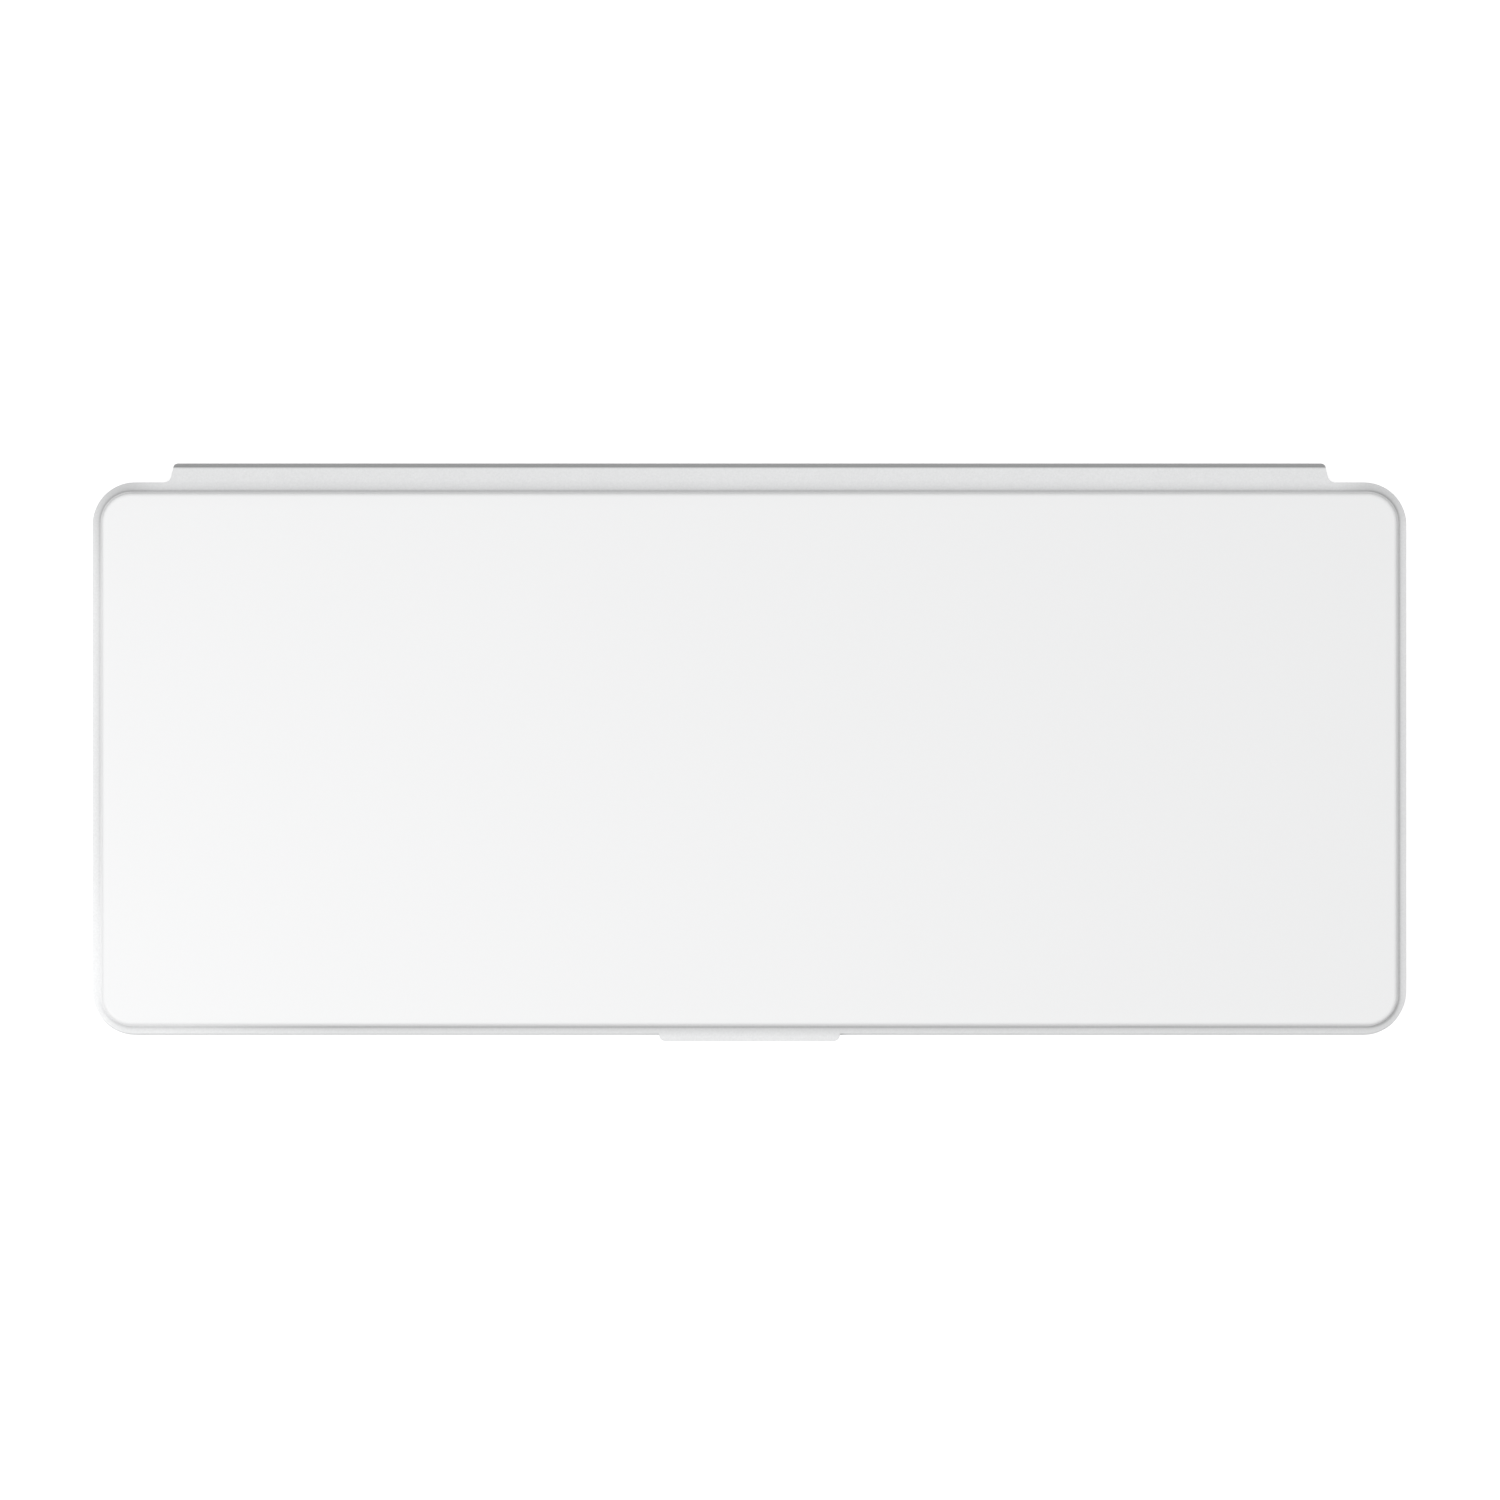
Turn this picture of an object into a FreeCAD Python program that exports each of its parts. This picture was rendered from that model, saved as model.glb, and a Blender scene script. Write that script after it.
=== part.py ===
import FreeCAD, Part

import math
import os

import Sketcher

# A slim travel keyboard with a folding cover, shut, lying on its rubber feet.
# Millimetres. X runs along the width, +Y to the hinged rear edge and +Z up.
# The origin is the bottom centre of the whole shut keyboard.

V = FreeCAD.Vector

doc = FreeCAD.newDocument("TravelKeyboard")
sheet = doc.addObject("Spreadsheet::Sheet", "Sizes")

# Driving sizes

SIZES = {
    # Outline of the shut keyboard, seen from above
    "base_width": 252.0,
    "base_depth": 106.1,
    "corner_radius": 8.1,
    "spine_reach": 3.66,
    "spine_width": 222.5,
    "tab_reach": 1.1,
    "tab_width": 34.7,
    "tab_corner": 1.2,
    "cover_setback": 0.4,
    "rim_side": 1.85,
    "rim_rear": 2.1,
    "rim_front": 1.7,
    "panel_corner_inset": 2.5,
    # Layers of the base, from the desk up
    "foot_height": 0.4,
    "floor_thickness": 0.8,
    "bay_height": 1.9,
    "plate_thickness": 0.3,
    "membrane_thickness": 0.2,
    "key_floor_gap": 0.1,
    "key_travel": 1.0,
    "cap_height": 1.4,
    "cap_proud": 1.1,
    "bezel_lip": 0.2,
    "web_thickness": 0.8,
    "wall_thickness": 1.2,
    "base_edge": 0.5,
    "bezel_edge": 0.4,
    # Layers of the cover
    "cover_gap": 0.3,
    "liner_thickness": 0.5,
    "liner_inset": 0.8,
    "skin_thickness": 1.1,
    "skin_edge": 0.4,
    "panel_raise": 0.9,
    "panel_edge": 0.7,
    "fit_gap": 0.1,
    # Key field
    "side_margin": 4.45,
    "front_margin": 5.0,
    "rear_margin": 6.7,
    "function_pitch": 10.4,
    "key_gap": 2.6,
    "arrow_split": 0.6,
    "key_corner": 1.5,
    "cap_edge": 0.35,
    "cap_roof": 0.7,
    "cap_wall": 0.9,
    "opening_gap": 0.4,
    "field_gap": 0.5,
    "plate_lap": 0.8,
    "backspace_units": 1.3,
    "escape_units": 1.3,
    "tab_units": 1.3,
    "caps_units": 1.6,
    "left_shift_units": 2.1,
    "command_units": 1.2,
    # Switch mechanism under each key
    "link_width": 11.0,
    "link_bar": 0.8,
    "link_thickness": 0.5,
    "link_side_gap": 0.15,
    "link_end_gap": 1.7,
    "link_clearance": 0.03,
    "dome_radius": 2.6,
    "dome_wall": 0.3,
    "dome_taper": 0.6,
    "dome_gap": 0.15,
    "stabiliser_wire": 0.5,
    "stabiliser_inset": 9.0,
    # Electronics
    "cell_radius": 10.0,
    "cell_height": 1.6,
    "cell_spacing": 23.0,
    "cell_rear": 31.0,
    "board_width": 70.0,
    "board_depth": 16.6,
    "board_thickness": 0.8,
    "board_lift": 0.2,
    "board_rear": 11.2,
    "chip_side": 6.0,
    "chip_height": 0.7,
    "radio_width": 12.0,
    "radio_depth": 8.0,
    "radio_height": 0.8,
    "radio_offset": 24.0,
    "socket_width": 10.0,
    "socket_depth": 2.4,
    "socket_height": 0.6,
    "socket_offset": 20.0,
    "led_width": 1.6,
    "led_depth": 0.8,
    "led_height": 0.6,
    "tail_width": 8.0,
    "contact_width": 4.0,
    "contact_thickness": 0.2,
    "contact_overlap": 2.6,
    "side_contact_lap": 1.0,
    # Battery door
    "door_plug_width": 46.0,
    "door_plug_depth": 22.4,
    "door_flange": 3.6,
    "door_flange_thickness": 0.5,
    "door_corner": 3.0,
    # Fasteners, magnets, pads and feet
    "screw_radius": 0.8,
    "screw_hole_gap": 0.08,
    "screw_head_radius": 1.25,
    "screw_head_height": 0.3,
    "screw_bite": 1.6,
    "screw_outer_inset": 16.0,
    "screw_inner_spacing": 80.0,
    "front_screw_inset": 2.6,
    "rear_screw_inset": 3.3,
    "boss_radius": 1.5,
    "door_screw_length": 1.6,
    "magnet_length": 12.0,
    "magnet_width": 2.0,
    "magnet_height": 1.4,
    "magnet_skin": 0.5,
    "magnet_spacing": 150.0,
    "cover_magnet_height": 0.8,
    "foot_length": 20.0,
    "foot_width": 6.0,
    "foot_seat": 0.3,
    "foot_side_inset": 22.0,
    "foot_end_inset": 10.0,
    "pad_length": 10.0,
    "pad_width": 2.0,
    "pad_seat": 0.2,
    "pad_inset": 2.6,
    "pad_end_inset": 16.0,
    "pad_clearance": 0.05,
    "rib_width": 1.0,
    "rib_pitch": 34.0,
    "short_rib_length": 56.0,
    "long_rib_length": 92.0,
    "rear_rail_depth": 1.0,
    # Power switch in the right wall and light in the bezel
    "switch_slot_length": 9.4,
    "switch_slot_height": 1.5,
    "switch_travel": 3.0,
    "switch_front": 14.4,
    "switch_flange": 0.8,
    "switch_flange_lap": 0.9,
    "switch_block_width": 3.0,
    "lens_radius": 0.6,
    "lens_offset": 30.0,
    "lens_rear": 3.6,
    # Folding spine
    "leaf_thickness": 0.6,
    "bend_radius": 0.9,
    "pivot_depth": 0.85,
    "wrap_gap": 0.3,
    "strip_thickness": 0.5,
    "strip_end_gap": 0.25,
    "leaf_bite": 1.1,
    "slot_gap": 0.1,
    "spine_gap": 0.05,
}

for row, (name, size) in enumerate(SIZES.items(), start=1):
    sheet.set(f"A{row}", name)
    sheet.set(f"B{row}", str(size))
    sheet.setAlias(f"B{row}", name)
doc.recompute()


def size(name):
    """The expression that reads one cell of the sheet."""
    return f"Sizes.{name}"


def total(*terms):
    """The expression for a sum of terms."""
    return "(" + " + ".join(terms) + ")"


def less(first, *others):
    """The expression for first with the others taken off."""
    return "(" + " - ".join([first, *others]) + ")"


def times(first, *others):
    """The expression for a product."""
    return "(" + " * ".join([first, *[str(other) for other in others]]) + ")"


def half(term):
    """The expression for half of a term."""
    return f"({term} / 2)"


def number(expression):
    """What an expression comes to now, in millimetres."""
    return float(sheet.evalExpression(expression))


ZERO = "0"
ORIGIN = (ZERO, ZERO)

# Levels above the desk

TRAY_BOTTOM = size("foot_height")
FLOOR_TOP = total(TRAY_BOTTOM, size("floor_thickness"))
PLATE_BOTTOM = total(FLOOR_TOP, size("bay_height"))
SEAM = total(PLATE_BOTTOM, size("plate_thickness"))
MEMBRANE_TOP = total(SEAM, size("membrane_thickness"))
CAP_BOTTOM = total(MEMBRANE_TOP, size("key_floor_gap"), size("key_travel"))
CAP_TOP = total(CAP_BOTTOM, size("cap_height"))
CAP_CEILING = less(CAP_TOP, size("cap_roof"))
BEZEL_TOP = total(CAP_TOP, size("bezel_lip"))
WEB_TOP = less(CAP_TOP, size("cap_proud"))
WEB_BOTTOM = less(WEB_TOP, size("web_thickness"))
COVER_BOTTOM = total(BEZEL_TOP, size("cover_gap"))
SKIN_BOTTOM = total(COVER_BOTTOM, size("liner_thickness"))
SKIN_TOP = total(SKIN_BOTTOM, size("skin_thickness"))
PANEL_TOP = total(SKIN_TOP, size("panel_raise"))

# Places in plan, measured from the middle of the base

CENTRE_Y = half(less(size("tab_reach"), size("spine_reach")))
REAR_FACE = half(size("base_depth"))
FRONT_FACE = less(ZERO, REAR_FACE)
FIELD_WIDTH = less(size("base_width"), times("2", size("side_margin")))
FIELD_LEFT = less(ZERO, half(FIELD_WIDTH))
FIELD_FRONT = total(FRONT_FACE, size("front_margin"))
FIELD_REAR = less(REAR_FACE, size("rear_margin"))
FIELD_DEPTH = less(FIELD_REAR, FIELD_FRONT)
FIELD_MIDDLE = half(total(FIELD_REAR, FIELD_FRONT))
ROW_PITCH = f"({less(FIELD_DEPTH, size('function_pitch'))} / 5)"
ROW_UNITS = total("13", size("backspace_units"))
PITCH = f"({FIELD_WIDTH} / {ROW_UNITS})"

# The two folds of the spine: the cover turns about the upper one, the spine about the lower.
# They lie so far apart that the cover, turned right round, lies just under the feet.

PIVOT_Y = less(
    total(REAR_FACE, size("spine_reach")),
    size("leaf_thickness"),
    size("spine_gap"),
    half(size("strip_thickness")),
)
UPPER_PIVOT_Z = less(SKIN_TOP, size("pivot_depth"))
LOWER_PIVOT_Z = less(UPPER_PIVOT_Z, half(total(PANEL_TOP, size("wrap_gap"))))
LEAF_BOTTOM = less(LOWER_PIVOT_Z, size("pivot_depth"))

parts = {}


def origin_item(body, role):
    """One of the planes or axes of a body's own origin."""
    return next(item for item in body.Origin.OriginFeatures if item.Role == role)


def new_body(label):
    """An empty body that stands on the middle of the base."""
    body = doc.addObject("PartDesign::Body", label)
    body.Label = label
    body.setExpression("Placement.Base.y", CENTRE_Y)
    return body


def copies_at(keys, prefix, z, make):
    """One body for each size of key, with a linked copy of it at every key of that size."""
    originals = {}
    copies = {}
    for key in keys:
        outline_size = (key["width"], key["depth"])
        if outline_size not in originals:
            body = doc.addObject("PartDesign::Body", f"{prefix}shape_{key['name']}")
            make(body, key)
            originals[outline_size] = body
        link = doc.addObject("App::Link", prefix + key["name"])
        link.Label = prefix + key["name"]
        link.LinkedObject = originals[outline_size]
        link.setExpression("Placement.Base.x", key["x"])
        link.setExpression("Placement.Base.y", total(key["y"], CENTRE_Y))
        link.setExpression("Placement.Base.z", z)
        copies[key["name"]] = link
    return copies


def compound(label, pieces):
    """One object that holds several separate solids."""
    group = doc.addObject("Part::Compound", label)
    group.Label = label
    group.Links = pieces
    return group


def keep(item):
    """Notes an object as one of the pieces that are written out."""
    parts[item.Label] = item
    return item


def new_sketch(body, name, offset=ZERO, role="XY_Plane"):
    """A sketch on one of the body's planes, moved off along the plane's normal."""
    sketch = body.newObject("Sketcher::SketchObject", name + "_sketch")
    sketch.AttachmentSupport = [(origin_item(body, role), "")]
    sketch.MapMode = "FlatFace"
    sketch.setExpression("AttachmentOffset.Base.z", offset)
    return sketch


def constrain(sketch, rules, sizes):
    """Adds plain constraints, then the named ones that follow an expression."""
    first = sketch.ConstraintCount + len(rules)
    sketch.addConstraint(rules + [rule for _, rule, _ in sizes])
    for index, (name, _, expression) in enumerate(sizes, start=first):
        sketch.renameConstraint(index, name)
        sketch.setExpression(f"Constraints.{name}", expression)


def draw_centre(sketch, place, tag):
    """A point at a place, with the sizes that hold it there."""
    x, y = place
    index = sketch.addGeometry(Part.Point(V(number(x), number(y), 0)), True)
    make = Sketcher.Constraint
    return index, [
        (f"x{tag}", make("DistanceX", -1, 1, index, 1, number(x)), x),
        (f"y{tag}", make("DistanceY", -1, 1, index, 1, number(y)), y),
    ]


def draw_rounded_rectangle(sketch, width, depth, radius, place=ORIGIN, tag=""):
    """A rectangle with round corners, centred on a place in the sketch."""
    half_width = number(width) / 2
    half_depth = number(depth) / 2
    r = number(radius)
    inner_x = half_width - r
    inner_y = half_depth - r
    quarter = math.pi / 2
    middle = V(number(place[0]), number(place[1]), 0)
    centre, sizes = draw_centre(sketch, place, tag)
    bottom = sketch.GeometryCount
    ends = [
        ((-inner_x, -half_depth), (inner_x, -half_depth)),
        ((half_width, -inner_y), (half_width, inner_y)),
        ((inner_x, half_depth), (-inner_x, half_depth)),
        ((-half_width, inner_y), (-half_width, -inner_y)),
    ]
    lines = [Part.LineSegment(middle + V(*start), middle + V(*end)) for start, end in ends]
    corners = [(inner_x, -inner_y), (inner_x, inner_y), (-inner_x, inner_y), (-inner_x, -inner_y)]
    arcs = []
    for turn, corner in enumerate(corners):
        circle = Part.Circle(middle + V(*corner), V(0, 0, 1), r)
        arcs.append(Part.ArcOfCircle(circle, (turn - 1) * quarter, turn * quarter))
    sketch.addGeometry(lines + arcs, False)
    make = Sketcher.Constraint
    rules = []
    for side in range(4):
        line = bottom + side
        arc = bottom + 4 + side
        following = bottom + (side + 1) % 4
        rules.append(make("Tangent", line, 2, arc, 1))
        rules.append(make("Tangent", arc, 2, following, 1))
        rules.append(make("Vertical" if side % 2 else "Horizontal", line))
        if side:
            rules.append(make("Equal", arc - 1, arc))
    left, top, right = bottom + 3, bottom + 2, bottom + 1
    rules.append(make("Symmetric", bottom, 1, top, 1, centre, 1))
    sizes += [
        (f"width{tag}", make("DistanceX", left, 1, right, 1, 2 * half_width), width),
        (f"depth{tag}", make("DistanceY", bottom, 1, top, 1, 2 * half_depth), depth),
        (f"radius{tag}", make("Radius", bottom + 4, r), radius),
    ]
    constrain(sketch, rules, sizes)


def draw_circle(sketch, radius, place, tag=""):
    """A circle about a place in the sketch."""
    centre, sizes = draw_centre(sketch, place, tag)
    middle = V(number(place[0]), number(place[1]), 0)
    index = sketch.addGeometry(Part.Circle(middle, V(0, 0, 1), number(radius)), False)
    make = Sketcher.Constraint
    sizes.append((f"radius{tag}", make("Radius", index, number(radius)), radius))
    constrain(sketch, [make("Coincident", index, 3, centre, 1)], sizes)


def pad(body, name, sketch, height):
    """Material raised from a sketch."""
    feature = body.newObject("PartDesign::Pad", name)
    feature.Profile = sketch
    feature.setExpression("Length", height)
    return feature


def pocket(body, name, sketch, height):
    """A cut that goes up from a sketch, along its plane's normal."""
    feature = body.newObject("PartDesign::Pocket", name)
    feature.Profile = sketch
    feature.Reversed = True
    feature.setExpression("Length", height)
    return feature


def block(body, name, width, depth, radius, z, height, places=None, cut=False):
    """Equal round-cornered blocks at the places, added to the body or cut from it."""
    sketch = new_sketch(body, name, z)
    for index, place in enumerate(places or [ORIGIN]):
        draw_rounded_rectangle(sketch, width, depth, radius, place, f"_{index}")
    return (pocket if cut else pad)(body, name, sketch, height)


def post(body, name, radius, z, height, places, cut=False):
    """Equal round posts at the places, added to the body or cut from it as holes."""
    sketch = new_sketch(body, name, z)
    for index, place in enumerate(places):
        draw_circle(sketch, radius, place, f"_{index}")
    return (pocket if cut else pad)(body, name, sketch, height)


def pair(x, y):
    """Two places, left and right of the middle."""
    return [(less(ZERO, x), y), (x, y)]


def edges_at(feature, height, slack=0.001):
    """The names of a feature's edges that lie flat at a height."""
    doc.recompute([feature])
    names = []
    for index, edge in enumerate(feature.Shape.Edges, start=1):
        box = edge.BoundBox
        if abs(box.ZMin - height) < slack and abs(box.ZMax - height) < slack:
            names.append(f"Edge{index}")
    return names


def fillet(body, name, feature, radius, edges):
    """Rounds the named edges of a feature."""
    rounding = body.newObject("PartDesign::Fillet", name)
    rounding.Base = (feature, edges)
    rounding.setExpression("Radius", radius)
    body.Tip = rounding
    return rounding


def outline(body, name, z, height, inset=ZERO, cut=False):
    """A block with the outline of the base, drawn in by an inset."""
    width = less(size("base_width"), times("2", inset))
    depth = less(size("base_depth"), times("2", inset))
    radius = less(size("corner_radius"), inset)
    return block(body, name, width, depth, radius, z, height, cut=cut)


# Key layout, from the function row to the row of the space bar.
# Each entry is a key's name and its width in key units, and None takes what the row has left.

LETTER_ROWS = ("qwertyuiop", "asdfghjkl", "zxcvbnm")


def single(*names):
    return [(name, "1") for name in names]


def letters(row):
    return single(*[f"key_{letter}" for letter in LETTER_ROWS[row]])


LAYOUT = [
    [("escape", size("escape_units"))]
    + single(*[f"f{index}" for index in range(1, 13)])
    + [("lock", None)],
    single("grave", *[f"digit_{index % 10}" for index in range(1, 11)], "minus", "equals")
    + [("key_backspace", None)],
    [("tab", size("tab_units"))]
    + letters(0)
    + single("open_bracket", "close_bracket")
    + [("backslash", None)],
    [("caps_lock", size("caps_units"))]
    + letters(1)
    + single("semicolon", "apostrophe")
    + [("key_enter", None)],
    [("key_left_shift", size("left_shift_units"))]
    + letters(2)
    + single("comma", "period", "slash")
    + [("key_right_shift", None)],
    single("fn", "control", "left_option")
    + [("left_command", size("command_units")), ("key_space", None)]
    + single("right_command", "right_option", "left_arrow", "up_and_down", "right_arrow"),
]

# The keys that travel one by one have a piece of their own; the others share one with their kind.

GROUPS = {
    "function_keys": ["escape", *[f"f{index}" for index in range(1, 13)], "lock"],
    "number_keys": ["grave", *[f"digit_{index}" for index in range(10)], "minus", "equals"],
    "punctuation_keys": [
        "open_bracket", "close_bracket", "backslash", "semicolon",
        "apostrophe", "comma", "period", "slash",
    ],
    "modifier_keys": [
        "tab", "caps_lock", "fn", "control", "left_option",
        "left_command", "right_command", "right_option",
    ],
    "arrow_keys": ["left_arrow", "up_arrow", "down_arrow", "right_arrow"],
}


def lay_out_keys():
    """Every key's name, the expressions for its middle and its width, its row and its units."""
    keys = []
    for row, entries in enumerate(LAYOUT):
        if row:
            middle_y = less(
                FIELD_REAR, size("function_pitch"), times(ROW_PITCH, row - 0.5)
            )
            row_depth = ROW_PITCH
        else:
            middle_y = less(FIELD_REAR, half(size("function_pitch")))
            row_depth = size("function_pitch")
        stated = [units for _, units in entries if units]
        left = ZERO
        for name, units in entries:
            units = units or less(ROW_UNITS, *stated)
            keys.append({
                "name": name,
                "row": row,
                "units": units,
                "x": total(FIELD_LEFT, times(PITCH, total(left, half(units)))),
                "y": middle_y,
                "width": less(times(PITCH, units), size("key_gap")),
                "depth": less(row_depth, size("key_gap")),
            })
            left = total(left, units)
    return keys


def split_arrows(key):
    """The up and down arrows, which share one opening, as two keys of half its depth."""
    depth = half(less(key["depth"], size("arrow_split")))
    shift = half(total(depth, size("arrow_split")))
    up = {**key, "name": "up_arrow", "depth": depth, "y": total(key["y"], shift)}
    down = {**key, "name": "down_arrow", "depth": depth, "y": less(key["y"], shift)}
    return [up, down]


OPENINGS = lay_out_keys()
KEYS = []
for opening in OPENINGS:
    KEYS += split_arrows(opening) if opening["name"] == "up_and_down" else [opening]


# Places that several pieces share

SCREW_PLACES = []
for screw_x in (less(half(size("base_width")), size("screw_outer_inset")),
                half(size("screw_inner_spacing"))):
    SCREW_PLACES += pair(screw_x, total(FRONT_FACE, size("front_screw_inset")))
    SCREW_PLACES += pair(screw_x, less(REAR_FACE, size("rear_screw_inset")))
MAGNET_PLACES = pair(
    half(size("magnet_spacing")), total(FRONT_FACE, size("front_screw_inset"))
)
FOOT_X = less(half(size("base_width")), size("foot_side_inset"))
FOOT_PLACES = (
    pair(FOOT_X, total(FRONT_FACE, size("foot_end_inset")))
    + pair(FOOT_X, less(REAR_FACE, size("foot_end_inset")))
)
PAD_X = less(half(size("base_width")), size("pad_inset"))
PAD_PLACES = (
    pair(PAD_X, total(FRONT_FACE, size("pad_end_inset")))
    + pair(PAD_X, less(REAR_FACE, size("pad_end_inset")))
)
CELL_Y = less(REAR_FACE, size("cell_rear"))
CELL_PLACES = pair(half(size("cell_spacing")), CELL_Y)
DOOR_SCREW_PLACES = pair(half(total(size("door_plug_width"), size("door_flange"))), CELL_Y)
BOARD_Y = less(REAR_FACE, size("board_rear"))
BOARD_TOP = total(FLOOR_TOP, size("board_lift"), size("board_thickness"))
LENS_PLACE = (size("lens_offset"), less(REAR_FACE, size("lens_rear")))
LENS_BOTTOM = total(BOARD_TOP, size("led_height"), size("fit_gap"))
TAIL_PLACE = (
    size("socket_offset"),
    less(
        BOARD_Y, half(size("socket_depth")), half(size("membrane_thickness")), size("fit_gap")
    ),
)
SWITCH_Y = total(FRONT_FACE, size("switch_front"))
SWITCH_Z = half(total(FLOOR_TOP, SEAM))
SPINE_LEFT = less(ZERO, half(size("spine_width")))
COVER_DEPTH = less(size("base_depth"), size("cover_setback"))
COVER_MIDDLE = (ZERO, half(size("cover_setback")))
SCREW_HOLE = total(size("screw_radius"), size("screw_hole_gap"))
HEAD_SEAT = total(size("screw_head_radius"), size("fit_gap"))
CLEARANCE = times("2", size("fit_gap"))
SQUARE_EDGE = half(size("fit_gap"))


def make_base_tray():
    """The bottom housing: floor, walls, bosses, ribs, battery window and switch slot."""
    body = new_body("base_tray")
    shell = outline(body, "Shell", TRAY_BOTTOM, less(SEAM, TRAY_BOTTOM))
    fillet(body, "BottomEdge", shell, size("base_edge"), edges_at(shell, number(TRAY_BOTTOM)))
    bay = less(SEAM, FLOOR_TOP)
    outline(body, "Bay", FLOOR_TOP, bay, inset=size("wall_thickness"), cut=True)
    post(body, "Bosses", size("boss_radius"), FLOOR_TOP, bay, SCREW_PLACES)
    # A rail thickens the rear wall, where the spine's lower leaf is glued into a slot
    rail_width = total(size("spine_width"), times("4", size("rear_rail_depth")))
    rail_y = less(REAR_FACE, size("wall_thickness"), half(size("rear_rail_depth")))
    block(
        body, "RearRail", rail_width, total(size("rear_rail_depth"), size("fit_gap")),
        SQUARE_EDGE, FLOOR_TOP, bay, [(ZERO, rail_y)],
    )
    # Ribs carry the plate: short ones in front of the battery, long ones at the sides
    for name, length, steps in (
        ("ShortRibs", size("short_rib_length"), (-1, 0, 1)),
        ("LongRibs", size("long_rib_length"), (-3, -2, 2, 3)),
    ):
        y = total(FIELD_FRONT, half(length))
        places = [(times(size("rib_pitch"), step), y) for step in steps]
        block(
            body, name, size("rib_width"), length, SQUARE_EDGE, FLOOR_TOP,
            size("bay_height"), places,
        )
    # The battery door lies in a stepped window, with a boss at each ear
    cell_middle = [(ZERO, CELL_Y)]
    flange_width = total(size("door_plug_width"), times("2", size("door_flange")))
    flange_depth = total(size("door_plug_depth"), size("door_flange"))
    corner = total(size("door_corner"), size("fit_gap"))
    block(
        body, "DoorStep", total(flange_width, CLEARANCE), total(flange_depth, CLEARANCE),
        corner, TRAY_BOTTOM, size("door_flange_thickness"), cell_middle, cut=True,
    )
    block(
        body, "DoorWindow", total(size("door_plug_width"), CLEARANCE),
        total(size("door_plug_depth"), CLEARANCE), corner, TRAY_BOTTOM, less(SEAM, TRAY_BOTTOM),
        cell_middle, cut=True,
    )
    post(
        body, "DoorBosses", size("boss_radius"), FLOOR_TOP, half(size("bay_height")),
        DOOR_SCREW_PLACES,
    )
    post(
        body, "DoorHoles", SCREW_HOLE, TRAY_BOTTOM, less(SEAM, TRAY_BOTTOM),
        DOOR_SCREW_PLACES, cut=True,
    )
    post(
        body, "Holes", SCREW_HOLE, TRAY_BOTTOM, less(SEAM, TRAY_BOTTOM), SCREW_PLACES, cut=True
    )
    post(
        body, "HeadSeats", HEAD_SEAT, TRAY_BOTTOM, size("screw_head_height"), SCREW_PLACES,
        cut=True,
    )
    block(
        body, "FootSeats", total(size("foot_length"), CLEARANCE),
        total(size("foot_width"), CLEARANCE), total(half(size("foot_width")), SQUARE_EDGE),
        TRAY_BOTTOM, size("foot_seat"), FOOT_PLACES, cut=True,
    )
    slot = new_sketch(body, "LeafSlot", less(SPINE_LEFT, size("slot_gap")), "YZ_Plane")
    draw_rounded_rectangle(
        slot, times("2", total(size("leaf_bite"), size("slot_gap"))),
        total(size("leaf_thickness"), times("2", size("slot_gap"))), half(size("slot_gap")),
        (REAR_FACE, total(LEAF_BOTTOM, half(size("leaf_thickness")))),
    )
    pocket(body, "LeafSlot", slot, total(size("spine_width"), times("2", size("slot_gap"))))
    inside = less(half(size("base_width")), times("2", size("wall_thickness")))
    switch = new_sketch(body, "SwitchSlot", inside, "YZ_Plane")
    draw_rounded_rectangle(
        switch, size("switch_slot_length"), size("switch_slot_height"),
        half(less(size("switch_slot_height"), size("fit_gap"))), (SWITCH_Y, SWITCH_Z),
    )
    pocket(body, "SwitchSlot", switch, times("3", size("wall_thickness")))
    keep(body)


def make_key_deck():
    """The top housing: a raised bezel round the key field, with a ledge for the key web."""
    body = new_body("key_deck")
    shell = outline(body, "Shell", SEAM, less(BEZEL_TOP, SEAM))
    fillet(body, "TopEdge", shell, size("bezel_edge"), edges_at(shell, number(BEZEL_TOP)))
    field = [(ZERO, FIELD_MIDDLE)]
    grow = times("2", size("field_gap"))
    lap = times("2", total(size("plate_lap"), size("fit_gap")))
    block(
        body, "Recess", total(FIELD_WIDTH, grow), total(FIELD_DEPTH, grow),
        total(size("key_corner"), size("field_gap")), WEB_BOTTOM, less(BEZEL_TOP, WEB_BOTTOM),
        field, cut=True,
    )
    block(
        body, "CircuitSeat", total(FIELD_WIDTH, lap), total(FIELD_DEPTH, lap),
        size("key_corner"), SEAM, size("membrane_thickness"), field, cut=True,
    )
    block(
        body, "Window", FIELD_WIDTH, FIELD_DEPTH, size("key_corner"), SEAM,
        less(WEB_BOTTOM, SEAM), field, cut=True,
    )
    post(body, "Pilots", SCREW_HOLE, SEAM, size("screw_bite"), SCREW_PLACES, cut=True)
    block(
        body, "MagnetPockets", total(size("magnet_length"), size("fit_gap")),
        total(size("magnet_width"), size("fit_gap")), SQUARE_EDGE, SEAM,
        less(BEZEL_TOP, SEAM, size("magnet_skin")), MAGNET_PLACES, cut=True,
    )
    post(
        body, "LensHole", total(size("lens_radius"), SQUARE_EDGE), SEAM, less(BEZEL_TOP, SEAM),
        [LENS_PLACE], cut=True,
    )
    keep(body)


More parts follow.
